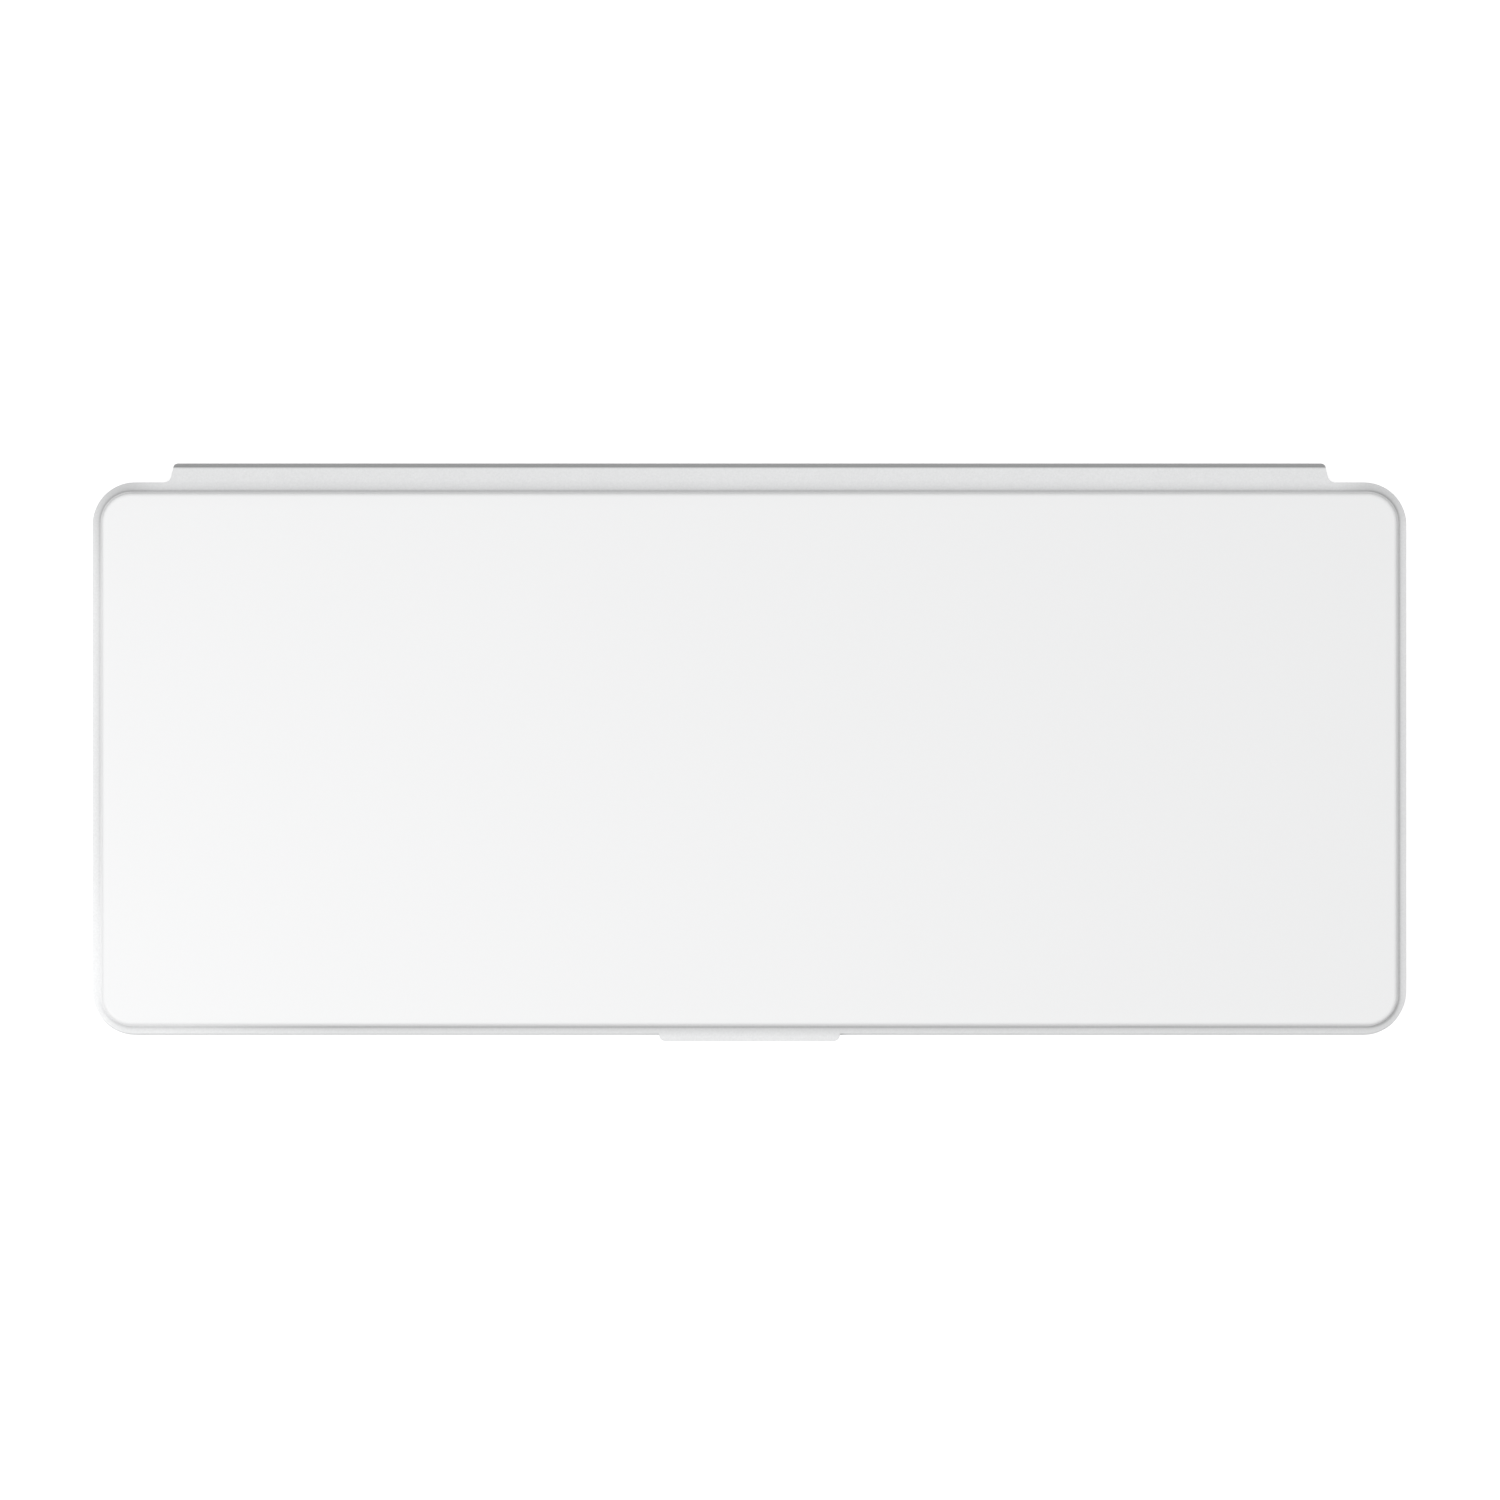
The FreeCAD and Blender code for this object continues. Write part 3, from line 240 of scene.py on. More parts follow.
lens = grained("clear_lens", (0.85, 0.92, 0.9, 1), 0.1, grain=1.0, depth=0.001)
lens.node_tree.nodes["Principled BSDF"].inputs["Transmission Weight"].default_value = 0.7
print(len(bpy.data.materials), "finishes")

# %% [markdown]
# Painted shade in the creases
#
# The skin's colour carries painted shade where it is creased: in the trough round the panel and
# along both fold lines of the spine. Light alone doesn't darken those creases enough, because
# pale walls throw it back into them. So the colour is darkened by the distance to those lines.
# The distance to a rounded rectangle is a short formula, and the fold lines are straight, so
# theirs is simpler still. The four sides don't carry the same painted shade: the left side,
# towards the lamp, gets less of it and is painted lighter, and the rear corners and the leaf are
# painted darker.

# %% The distance to the panel's foot
FOOT = 0.35
PANEL_RADIUS = 5.6
FOOT_RADIUS = PANEL_RADIUS + FOOT


def reach(x, y):
    """The length of a step of x and y."""
    return x.maths("SQRT", x * x + y * y)


def foot_distance(place):
    """How far a place lies outside the panel's foot, in millimetres, below zero inside."""
    centre = ((panel_low + panel_high) / 2) * MM
    half = ((panel_high - panel_low) / 2) * MM
    moved = place.node("ShaderNodeVectorMath", {0: place, 1: (centre.x, centre.y, 0)},
                       operation="SUBTRACT")
    folded = place.node("ShaderNodeVectorMath", {0: moved}, operation="ABSOLUTE")
    over_x = axis(folded, "X") - (half.x + (FOOT - FOOT_RADIUS) * MM)
    over_y = axis(folded, "Y") - (half.y + (FOOT - FOOT_RADIUS) * MM)
    outside = reach(place.maths("MAXIMUM", over_x), place.maths("MAXIMUM", over_y))
    inside = place.maths("MINIMUM", place.maths("MAXIMUM", over_x, over_y))
    return (outside + inside) * (1 / MM) - FOOT_RADIUS


def eased(value, span, low, high, kind="SMOOTHSTEP"):
    """A step of a value, from low at the start of a span to high at its end."""
    return value.node("ShaderNodeMapRange", {
        "Value": value, "From Min": span[0], "From Max": span[1], "To Min": low, "To Max": high,
    }, interpolation_type=kind)


# %% How much painted shade and painted light each side carries
LEFT_ACROSS, LEFT_ALONG = (-BASE_HALF, 8 - BASE_HALF), (25, 50)
REAR_ACROSS, REAR_ALONG = (112, 120), (42, 50)
LEAF_ACROSS, LEAF_ALONG = (-110, 110), (48, 51)
FRONT_ALONG = (-50, -46)
CORNER_REACH = (8, 50)
# Painted light and shade by side: lighter on the left, darker at the rear corners and the leaf.
LEFT_LESS_SHADE, CORNER_LESS_SHADE, MORE_FRONT = 0.5, 0.45, 0.2
LEFT_PAINTED_LIGHT, CORNER_PAINTED_LIGHT, REAR_PAINTED_SHADE, LEAF_PAINTED_SHADE = 0.06, 0.08, 0.15, (0.07, 0.01)


def painted_side_light(place):
    """How much of the creases' painted shade each side carries, and its painted light.

    The left side and its front corner, towards the lamp, get less shade and are painted lighter.
    The rear corners and the leaf are painted darker, the leaf most at its left end.
    """
    x = axis(place, "X") * (1 / MM)
    y = axis(place, "Y") * (1 / MM)
    left = eased(x, LEFT_ACROSS, 1.0, 0.0) * eased(y, LEFT_ALONG, 1.0, 0.0)
    corner = eased(reach(x + BASE_HALF, y - COVER_FRONT), CORNER_REACH, 1.0, 0.0)
    front = eased(y, FRONT_ALONG, MORE_FRONT, 0.0)
    outwards = place.maths("ABSOLUTE", x)
    rear_shade = eased(y, REAR_ALONG, 0.0, REAR_PAINTED_SHADE) * eased(outwards, REAR_ACROSS, 0.0, 1.0)
    leaf_shade = eased(y, LEAF_ALONG, 0.0, 1.0) * eased(x, LEAF_ACROSS, *LEAF_PAINTED_SHADE)
    share = 1.0 + front - left * LEFT_LESS_SHADE - corner * CORNER_LESS_SHADE
    painted_light = 1.0 + left * LEFT_PAINTED_LIGHT + corner * CORNER_PAINTED_LIGHT - rear_shade - leaf_shade
    return share, painted_light


# %% The skin and the panel, with their painted shade
SEAM_Z = (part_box("spine_strip")[0].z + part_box("spine_strip")[1].z) / 2 / MM
HALF_HEIGHT = skin_high.z - SEAM_Z
TROUGH_SPAN, TROUGH_TONE = (-0.1, 2.0), 0.77
CREASE_SPAN, CREASE_TONE = (0.1, 0.5), 0.78
FOLD_STARTS, FOLD_ENDS, FOLD_REST, FOLD_SHADE = (-0.2, 0.3), (0.5, 0.8), 0.78, 0.58
BEND_SPAN = (HALF_HEIGHT - 1.3, HALF_HEIGHT - 0.8)
EDGE_SPAN, EDGE_SHADE = (-0.5, -0.05), 0.25


def skin_painted_shade(place):
    """Painted shade: darkest at the panel's foot, fading outwards, and along both folds."""
    distance = foot_distance(place)
    share, painted_light = painted_side_light(place)
    trough = eased(distance, TROUGH_SPAN, TROUGH_TONE, 1.0, "LINEAR")
    trough = trough * eased(distance, CREASE_SPAN, CREASE_TONE, 1.0)
    trough = (1.0 - (1.0 - trough) * share) * painted_light
    behind = axis(place, "Y") * (1 / MM) - FOLD_Y
    from_seam = place.maths("ABSOLUTE", axis(place, "Z") * (1 / MM) - SEAM_Z)
    past_fold = eased(behind, FOLD_STARTS, 0.0, 1.0) * eased(behind, FOLD_ENDS, 1.0, FOLD_REST)
    on_bend = eased(from_seam, BEND_SPAN, 0.0, 1.0)
    return trough * (1.0 - past_fold * on_bend * FOLD_SHADE)


def panel_painted_shade(place):
    """Painted shade at the foot of the panel's side."""
    shade = eased(foot_distance(place), EDGE_SPAN, 0.0, EDGE_SHADE)
    return 1.0 - shade * painted_side_light(place)[0]


# The skin and the panel carry painted shade in their creases and painted light on the left.
cover_skin = grained("soft_skin", grey(0.785, -0.006), 0.62, grain=0.35, depth=0.02,
                     tint=0.1, painted_shade=skin_painted_shade)
panel_sheet = grained("cover_panel_sheet", grey(0.86, -0.003), 0.55, grain=0.3, depth=0.003,
                      tint=0.008, cloud=60.0, mottle=0.004, painted_shade=panel_painted_shade)
print("skin and panel ready, the skin folds at y", round(FOLD_Y, 2))

# %% [markdown]
# Metal, cloth and electronics
#
# Metals want high metallic and a roughness that follows how they were worked: brushed along one
# axis for sheet steel, plain for screws. Stretching the noise along X by a Mapping node makes
# the brushing. The lining is a short-napped microfibre: a fine noise for the nap, and a broad one
# for the strokes that a hand leaves in it. The circuit board is green laminate with copper tracks,
# and everything that stands on it is dark.

# %% Brushed and plated metals
STREAK = 5
STREAK_DEPTH = 0.002
STREAK_GLOSS = 0.25


def brushed(name, colour, roughness, along=(1.0, 25.0, 25.0)):
    """A metal whose fine scratches run along X."""
    finish, sockets, place = new_finish(name)
    stretched = place.node("ShaderNodeMapping", {"Vector": place, "Scale": along})
    streaks = noise(stretched, STREAK, detail=4.0)
    feed(roughness + (streaks - 0.5) * STREAK_GLOSS, sockets["Roughness"])
    feed(bump(streaks, STREAK_DEPTH), sockets["Normal"])
    sockets["Base Color"].default_value = colour
    sockets["Metallic"].default_value = 1.0
    return finish


plate_steel = brushed("plate_steel", grey(0.55), 0.35)
spring_wire = brushed("spring_wire", grey(0.6), 0.25)
cell_steel = brushed("cell_steel", grey(0.68), 0.2, along=(4.0, 4.0, 4.0))
screw_steel = brushed("screw_steel", grey(0.5), 0.3, along=(6.0, 6.0, 6.0))
magnet_metal = brushed("magnet_metal", grey(0.62), 0.25, along=(5.0, 5.0, 5.0))
brass = brushed("contact_brass", (0.75, 0.55, 0.24, 1), 0.3)
print("metals made")

# %% The lining's cloth
NAP, NAP_DEPTH, STROKE = 0.25, 0.02, 18
lining, sockets, place = new_finish("cover_lining")
nap = noise(place, NAP, detail=4.0, roughness=0.7)
stroke = noise(place, STROKE, detail=2.0, roughness=0.5)
shade = place.node("ShaderNodeMix", {
    0: nap * 0.5 + stroke * 0.5, 6: grey(0.40, 0.01), 7: grey(0.56, 0.01),
}, output=2, data_type="RGBA")
feed(shade, sockets["Base Color"])
feed(bump(nap, NAP_DEPTH), sockets["Normal"])
sockets["Roughness"].default_value = 0.85
sockets["Sheen Weight"].default_value = 0.3
print(lining.name, "made")

# %% The circuit board
TOP_OF_BOARD, MARGIN = 2.2, 0.02
SWITCH_BLOCK = BASE_HALF - 8
laminate, sockets, place = new_finish("board_laminate")
tracks = place.node("ShaderNodeTexBrick", {
    "Vector": place, "Scale": 420.0, "Mortar Size": 0.02, "Color1": (0.02, 0.12, 0.06, 1),
    "Color2": (0.025, 0.15, 0.07, 1), "Mortar": (0.05, 0.22, 0.1, 1),
})
mounted = place.maths("MAXIMUM", axis(place, "Z") > (TOP_OF_BOARD + MARGIN) * MM,
                      axis(place, "X") > SWITCH_BLOCK * MM)
shade = place.node("ShaderNodeMix", {0: mounted, 6: tracks, 7: grey(0.03)}, output=2,
                   data_type="RGBA")
feed(shade, sockets["Base Color"])
sockets["Roughness"].default_value = 0.4
print(len(bpy.data.materials), "finishes in all")

# %% [markdown]
# From a rounded rectangle to a solid
#
# Panel, lining, feet and key caps all start as the same thing: a rectangle with round corners,
# given a height and a rounded edge. In Blender that is a one-face grid whose corners are beveled
# as vertices, an extrude, and a bevel of the top edges. A few helpers are enough for all of them.


# %% Short names for operators that come back often
def only(kind, parts):
    """The vertices, edges or faces in a list of mesh parts."""
    return [part for part in parts if isinstance(part, kind)]


def faces_at(verts):
    """Every face that has one of these vertices."""
    return list(dict.fromkeys(f for v in verts for f in v.link_faces))


def bevel(bm, parts, affect, offset, segments, **settings):
    """A round bevel of edges or corners."""
    return bmesh.ops.bevel(bm, geom=parts, affect=affect, offset=offset, segments=segments,
                           profile=0.5, material=-1, **settings)


def inset(bm, face, thickness, depth=0.0, even=True):
    """Insets a face and lifts it by a depth, or sinks it where that is below zero."""
    bmesh.ops.inset_region(bm, faces=[face], thickness=thickness, depth=depth,
                           use_even_offset=even)


def cut(bm, place, normal):
    """Cuts a mesh along a plane and keeps both sides."""
    bmesh.ops.bisect_plane(bm, geom=bm.verts[:] + bm.edges[:] + bm.faces[:],
                           plane_co=place, plane_no=normal)


def turn_out(bm):
    """Turns all faces outwards."""
    bmesh.ops.recalc_face_normals(bm, faces=bm.faces[:])


# %% Helpers for rounded plates
def rectangle(bm, low, high, z, rows=1):
    """The corners of a flat rectangle between two corners of its plan."""
    middle = ((low[0] + high[0]) / 2, (low[1] + high[1]) / 2, z)
    size = Matrix.Diagonal((high[0] - low[0], high[1] - low[1], 1, 1))
    return bmesh.ops.create_grid(bm, x_segments=1, y_segments=rows, size=0.5,
                                 matrix=Matrix.Translation(middle) @ size)["verts"]


def flat_outline(bm, low, high, radius, z, segments=8):
    """A flat face with round corners between two corners of its plan."""
    rounded = bevel(bm, rectangle(bm, low, high, z), "VERTICES", radius, segments)
    return rounded["verts"][0].link_faces[0]


def raise_face(bm, face, height):
    """Extrudes a face into a solid and returns the face at the far end."""
    grown = bmesh.ops.extrude_face_region(bm, geom=[face])["geom"]
    bmesh.ops.translate(bm, vec=(0, 0, height), verts=only(BMVert, grown))
    return only(BMFace, grown)[0]


def round_rim(bm, face, radius, segments=3):
    """Rounds the edges of a face and returns what is left of it."""
    middle = face.calc_center_median()
    bevel(bm, list(face.edges), "EDGES", radius, segments)
    flat = [f for f in bm.faces if abs(f.normal.z) > 0.99 and len(f.verts) > 4]
    return min(flat, key=lambda f: (f.calc_center_median() - middle).length)


def finish_piece(name, bm, finishes, smooth=40.0):
    """Turns a mesh drawn in millimetres into a finished piece in metres."""
    bmesh.ops.scale(bm, vec=(MM, MM, MM), verts=bm.verts[:])
    mesh = bpy.data.meshes.new(name)
    bm.to_mesh(mesh)
    bm.free()
    for finish in finishes:
        mesh.materials.append(finish)
    mesh.shade_smooth()
    mesh.set_sharp_from_angle(angle=radians(smooth))
    piece = bpy.data.objects.new(name, mesh)
    bpy.context.scene.collection.objects.link(piece)
    print(name, len(mesh.polygons), "faces")
    return piece


# %% [markdown]
# The skin that wraps the keyboard
#
# On the real object one soft sheet lies under the panel, shows round it as a narrow rim, and
# runs over the rear edge as the spine. Its outline is a rounded rectangle with a broad leaf
# behind and a small pull tab in front. Hollow fillets join the leaf to the rim. The sheet then
# rolls down over the rear edge.
#
# It is drawn flat first: two edges of a rectangle are extruded into the leaf and the tab, the
# three become one face, the corners are rounded as vertices, and the rolled part is a spin of the
# leaf's rear edge. Solidify gives the wall. Rows of edges are cut across the leaf, where it bends
# when the cover is opened.

# %% Draw the sheet flat
LEAF_ROOT = spine_high.x
LEAF_TAPER = 0.7
LEAF_REAR = LEAF_ROOT - LEAF_TAPER
TAB_HALF = 17.35
TAB_FRONT = skin_low.y
NEAR, NEARLY_STRAIGHT = 0.01, 0.01
sheet = bmesh.new()
rectangle(sheet, (-BASE_HALF, COVER_FRONT), (BASE_HALF, REAR_FACE), skin_high.z)
for x in (-LEAF_ROOT, -TAB_HALF, TAB_HALF, LEAF_ROOT):
    cut(sheet, (x, 0, 0), (1, 0, 0))


def grow_edge(bm, y, half, new_y, new_half):
    """Extrudes the edges on a line of the outline outwards, and narrows the new ones."""
    along = [
        e for e in bm.edges
        if all(abs(v.co.y - y) < NEAR and abs(v.co.x) < half + NEAR for v in e.verts)
    ]
    grown = bmesh.ops.extrude_edge_only(bm, edges=along)["geom"]
    for vert in only(BMVert, grown):
        vert.co.y = new_y
        vert.co.x *= new_half / half


grow_edge(sheet, REAR_FACE, LEAF_ROOT, FOLD_Y, LEAF_REAR)
grow_edge(sheet, COVER_FRONT, TAB_HALF, TAB_FRONT, TAB_HALF)
bmesh.ops.dissolve_faces(sheet, faces=sheet.faces[:], use_verts=False)
in_line = [
    v for v in sheet.verts
    if abs(v.co.y) < FOLD_Y + NEAR and len(v.link_edges) == 2
    and v.calc_edge_angle() < NEARLY_STRAIGHT
]
bmesh.ops.dissolve_verts(sheet, verts=in_line)
print("outline of", len(sheet.verts), "corners")

# %% Round its corners and cut the rows that bend
RIM_RADIUS, RIM_STEPS = 8.1, 14
HOLLOW_RADIUS, TAB_RADIUS, SMALL_STEPS = 1.1, 1.2, 6
BEND_ROWS = (0.6, 1.2, 1.6, 2.0, 2.4)
hollow_corners = [v for v in sheet.verts if abs(v.co.y - REAR_FACE) < NEAR
                  and abs(v.co.x) < LEAF_ROOT + NEAR]
tab_corners = [v for v in sheet.verts if abs(v.co.y - TAB_FRONT) < NEAR]
rim_corners = [v for v in sheet.verts if abs(v.co.x) > LEAF_ROOT + 1]
bevel(sheet, rim_corners, "VERTICES", RIM_RADIUS, RIM_STEPS)
bevel(sheet, hollow_corners, "VERTICES", HOLLOW_RADIUS, SMALL_STEPS)
bevel(sheet, tab_corners, "VERTICES", TAB_RADIUS, SMALL_STEPS)
for row in BEND_ROWS:
    cut(sheet, (0, REAR_FACE + row, 0), (0, 1, 0))
print(len(rim_corners), "rim corners,", len(hollow_corners), "hollows,", len(sheet.faces), "faces")

# %% Roll the leaf over the rear edge
ROLL_STEPS, DROP_STEPS = 8, 6
PRESSED = 0.1
PRESSED_AT = radians(22.5)
ON_LINE, SAME_PLACE = 1e-4, 1e-5


def roll_over(bm, centre_z, turn):
    """Rolls the leaf's rear edge a quarter turn about a level, then runs it to the seam.

    A quarter of the way round the bend a line is pressed in, where such a skin is creased.
    """
    edge = [e for e in bm.edges if all(abs(v.co.y - FOLD_Y) < ON_LINE for v in e.verts)]
    spun = bmesh.ops.spin(bm, geom=edge, cent=(0, FOLD_Y, centre_z), axis=(1, 0, 0), angle=turn,
                          steps=ROLL_STEPS)["geom_last"]
    edges = only(BMEdge, spun)
    for _ in range(DROP_STEPS):
        grown = bmesh.ops.extrude_edge_only(bm, edges=edges)["geom"]
        edges = [e for e in only(BMEdge, grown)
                 if abs(e.verts[0].co.z - e.verts[1].co.z) < SAME_PLACE]
        bmesh.ops.translate(bm, vec=(0, 0, (SEAM_Z - centre_z) / DROP_STEPS),
                            verts=only(BMVert, grown))
    bmesh.ops.remove_doubles(bm, verts=bm.verts[:], dist=SAME_PLACE)
    way = -sin(turn)
    crease = (FOLD_Y + BEND * sin(PRESSED_AT), centre_z + way * BEND * cos(PRESSED_AT))
    for vert in bm.verts:
        past = min(1.0, max(0.0, (vert.co.y - FOLD_Y) / BEND))
        vert.co.x -= (1 - sqrt(1 - past * past)) * BEND * (1 if vert.co.x > 0 else -1)
        if abs(vert.co.y - crease[0]) + abs(vert.co.z - crease[1]) < NEAR:
            vert.co.y -= PRESSED * sin(PRESSED_AT)
            vert.co.z -= way * PRESSED * cos(PRESSED_AT)


roll_over(sheet, skin_high.z - BEND, -pi / 2)
turn_out(sheet)
if max(sheet.faces, key=lambda f: f.calc_area()).normal.z < 0:
    bmesh.ops.reverse_faces(sheet, faces=sheet.faces[:])
print("rolled down to z", round(min(v.co.z for v in sheet.verts), 2))

# %% Give the sheet its wall and soft edges
WALL = 0.6
SHEET_EDGE, TAIL_EDGE = 0.22, 0.15
SHARP = radians(60)
AT_SEAM = 0.02


def soften(bm, radius):
    """Rounds the sharp edges of a sheet, apart from those at the seam."""
    sharp = [
        e for e in bm.edges
        if e.is_manifold and e.calc_face_angle() > SHARP
        and not all(abs(v.co.z - SEAM_Z) < AT_SEAM for v in e.verts)
    ]
    bevel(bm, sharp, "EDGES", radius, 3, clamp_overlap=True)


bmesh.ops.solidify(sheet, geom=sheet.faces[:], thickness=WALL)
soften(sheet, SHEET_EDGE)
print(len(sheet.faces), "faces with the wall")

# %% [markdown]
# The trough and the lower ply
#
# Round the panel the skin is pressed down into a shallow trough. A plain inset of the sheet's top
# would stumble over the corners of the leaf and the tab. So the top face is taken out, a clean
# rounded rectangle is put in its middle, the ring between them is filled, and insets press the
# rectangle down. A second, plain ply is glued under the sheet and closes the cover.

# %% Press the trough and add the lower ply
TROUGH, TROUGH_STEP = 0.3, 0.33
TROUGH_SHARES = (0.1, 0.3, 0.6)
SHOULDER = 0.35
PLY_DROP = WALL + 0.01
PLY_EDGE = 0.15
top = max((f for f in sheet.faces if f.normal.z > 0.9), key=lambda f: f.calc_area())
around = list(top.edges)
bmesh.ops.delete(sheet, geom=[top], context="FACES_ONLY")
pressed = flat_outline(
    sheet, (SHOULDER - BASE_HALF, COVER_FRONT + SHOULDER),
    (BASE_HALF - SHOULDER, REAR_FACE - SHOULDER), RIM_RADIUS - SHOULDER, skin_high.z, RIM_STEPS,
)
bmesh.ops.triangle_fill(sheet, edges=around + list(pressed.edges), normal=(0, 0, 1),
                        use_beauty=True, use_dissolve=False)
for share in TROUGH_SHARES:
    inset(sheet, pressed, TROUGH_STEP, -TROUGH * share)
print("trough bottom at z", round(pressed.calc_center_median().z, 2))

ply = flat_outline(sheet, (-BASE_HALF, COVER_FRONT), (BASE_HALF, REAR_FACE), RIM_RADIUS,
                   skin_high.z - PLY_DROP, RIM_STEPS)
round_rim(sheet, raise_face(sheet, ply, skin_low.z - skin_high.z + PLY_DROP), PLY_EDGE)
turn_out(sheet)
cover_wrap = finish_piece("cover_wrap", sheet, [cover_skin])
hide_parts("cover_skin", "spine_skin")
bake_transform(cover_wrap)

# %% [markdown]
# The lower half of the spine
#
# The skin's other end is glued into a slot in the base. It bends at its own fold, so it is a
# second sheet that meets the first halfway up the back. Each sheet then crosses only one joint.

# %% Make the lower sheet
tail = bmesh.new()
rectangle(tail, (-LEAF_REAR, spine_low.y), (LEAF_REAR, FOLD_Y), spine_low.z, rows=6)
roll_over(tail, spine_low.z + BEND, pi / 2)
turn_out(tail)
if min(tail.faces, key=lambda f: f.calc_center_median().z).normal.z > 0:
    bmesh.ops.reverse_faces(tail, faces=tail.faces[:])
bmesh.ops.solidify(tail, geom=tail.faces[:], thickness=WALL)
soften(tail, TAIL_EDGE)
spine_tail = finish_piece("spine_tail", tail, [cover_skin])
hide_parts("spine_skin")
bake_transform(spine_tail)

# %% [markdown]
# The core of the spine
#
# Between the two sheets stands a stiff strip, which gives the closed spine its height. Its ends
# stay back from the ends of the skin, so it is only seen end on.

# %% Make the core
strip_low, strip_high = box_mm("spine_strip")
CORE_BACK = 0.4
CORE_HALF = LEAF_REAR - BEND - CORE_BACK
CORE_RADIUS = (strip_high.y - strip_low.y) * 0.3
CORE_EDGE = 0.12
core = bmesh.new()
face = flat_outline(core, (-CORE_HALF, strip_low.y), (CORE_HALF, strip_high.y), CORE_RADIUS,
                    strip_low.z, segments=3)
face = raise_face(core, face, strip_high.z - strip_low.z)
round_rim(core, face, CORE_EDGE, segments=2)
turn_out(core)
spine_core = finish_piece("spine_core", core, [strip_plastic])
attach(spine_core, "spine")
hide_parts("spine_strip")

# %% [markdown]
# The raised panel
#
# The panel is a stiff sheet laid on the skin, and the skin is pressed down round it, so its side
# rises steeply out of the trough: a small hollow, a steep wall and a rounded edge. Insets that
# rise a little at each step draw that profile all round at once. Its middle is plain.

# %% Make the panel
WALL_SLOPE = 75
HOLLOW = 0.3
CROWN = 0.75
PLINTH = 0.1


def swell(bm, face, radius, start, end, steps):
    """Insets a face in steps that follow an arc from one slope to another, in degrees."""
    angles = [radians(start + (end - start) * step / steps) for step in range(steps + 1)]
    for first, second in zip(angles, angles[1:]):
        inset(bm, face, radius * abs(sin(second) - sin(first)),
              radius * abs(cos(second) - cos(first)))


FOOT_Z = skin_high.z - TROUGH
arc_rise = (HOLLOW + CROWN) * (1 - cos(radians(WALL_SLOPE)))
straight = panel_high.z - FOOT_Z - arc_rise
panel = bmesh.new()
face = flat_outline(panel, (panel_low.x - FOOT, panel_low.y - FOOT),
                    (panel_high.x + FOOT, panel_high.y + FOOT), FOOT_RADIUS, FOOT_Z - PLINTH,
                    RIM_STEPS)
face = raise_face(panel, face, PLINTH)
turn_out(panel)
swell(panel, face, HOLLOW, 0, WALL_SLOPE, steps=3)
inset(panel, face, straight / tan(radians(WALL_SLOPE)), straight)
swell(panel, face, CROWN, WALL_SLOPE, 0, steps=6)
print("panel top at z", round(face.calc_center_median().z, 3), "of", round(panel_high.z, 3))
cover_face = finish_piece("cover_face", panel, [panel_sheet])
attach(cover_face, "cover")
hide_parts("cover_panel")

# %% [markdown]
# The lining that faces the keys
#
# Inside, the cover has a short-napped lining that keeps marks off the key caps. It is pressed
# along a line near its edge, which insets make: one to reach the line, one that sinks, one along
# its bottom and one that comes back up.

# %% Make the lining
LINER_RADIUS, LINER_EDGE = 7.3, 0.2
PRESSED_LINE = ((3.2, 0.0), (0.3, -0.15), (0.3, 0.0), (0.3, 0.15))
inner = bmesh.new()
face = flat_outline(inner, liner_low, liner_high, LINER_RADIUS, liner_high.z, segments=12)
face = raise_face(inner, face, liner_low.z - liner_high.z)
face = round_rim(inner, face, LINER_EDGE)
turn_out(inner)
for thickness, depth in PRESSED_LINE:
    inset(inner, face, thickness, depth)
cover_lining = finish_piece("cover_lining", inner, [lining])
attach(cover_lining, "cover")
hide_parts("cover_liner")

# %% [markdown]
# Where every key lies
#
# A keyboard is counted in key units. Each row lists its keys with their width in units, and the
# last or the widest key takes what is left, so all rows end at the same edge. The frame's box of
# each single key then shows whether the count agrees with it.

# %% Count out the rows
KEY_GAP = 2.6
ARROW_GAP = 0.6
ROW_UNITS = 14.3
FUNCTION_PITCH = 10.4
field_left = box_mm("function_keys")[0].x - KEY_GAP / 2
field_rear = box_mm("function_keys")[1].y + KEY_GAP / 2
field_front = box_mm("key_space")[0].y - KEY_GAP / 2
PITCH = -2 * field_left / ROW_UNITS
ROW_PITCH = (field_rear - field_front - FUNCTION_PITCH) / 5

ROWS = [
    [("escape", 1.3)] + [(f"f{n}", 1) for n in range(1, 13)] + [("lock", None)],
    [("grave", 1)] + [(f"digit_{n % 10}", 1) for n in range(1, 11)]
    + [("minus", 1), ("equals", 1), ("key_backspace", None)],
    [("tab", 1.3)] + [(f"key_{letter}", 1) for letter in "qwertyuiop"]
    + [("open_bracket", 1), ("close_bracket", 1), ("backslash", None)],
    [("caps_lock", 1.6)] + [(f"key_{letter}", 1) for letter in "asdfghjkl"]
    + [("semicolon", 1), ("apostrophe", 1), ("key_enter", None)],
    [("key_left_shift", 2.1)] + [(f"key_{letter}", 1) for letter in "zxcvbnm"]
    + [("comma", 1), ("period", 1), ("slash", 1), ("key_right_shift", None)],
    [("fn", 1), ("control", 1), ("left_option", 1), ("left_command", 1.2), ("key_space", None),
     ("right_command", 1), ("right_option", 1), ("left_arrow", 1), ("up_and_down", 1),
     ("right_arrow", 1)],
]
places = {}
for index, row in enumerate(ROWS):
    depth = ROW_PITCH if index else FUNCTION_PITCH
    rear = field_rear - (FUNCTION_PITCH + (index - 1) * ROW_PITCH if index else 0)
    spare = ROW_UNITS - sum(units for _, units in row if units)
    left = field_left
    for name, units in row:
        width = PITCH * (units or spare)
        places[name] = (left + width / 2, rear - depth / 2, width - KEY_GAP, depth - KEY_GAP)
        left += width
x, y, width, depth = places.pop("up_and_down")
half_depth = (depth - ARROW_GAP) / 2
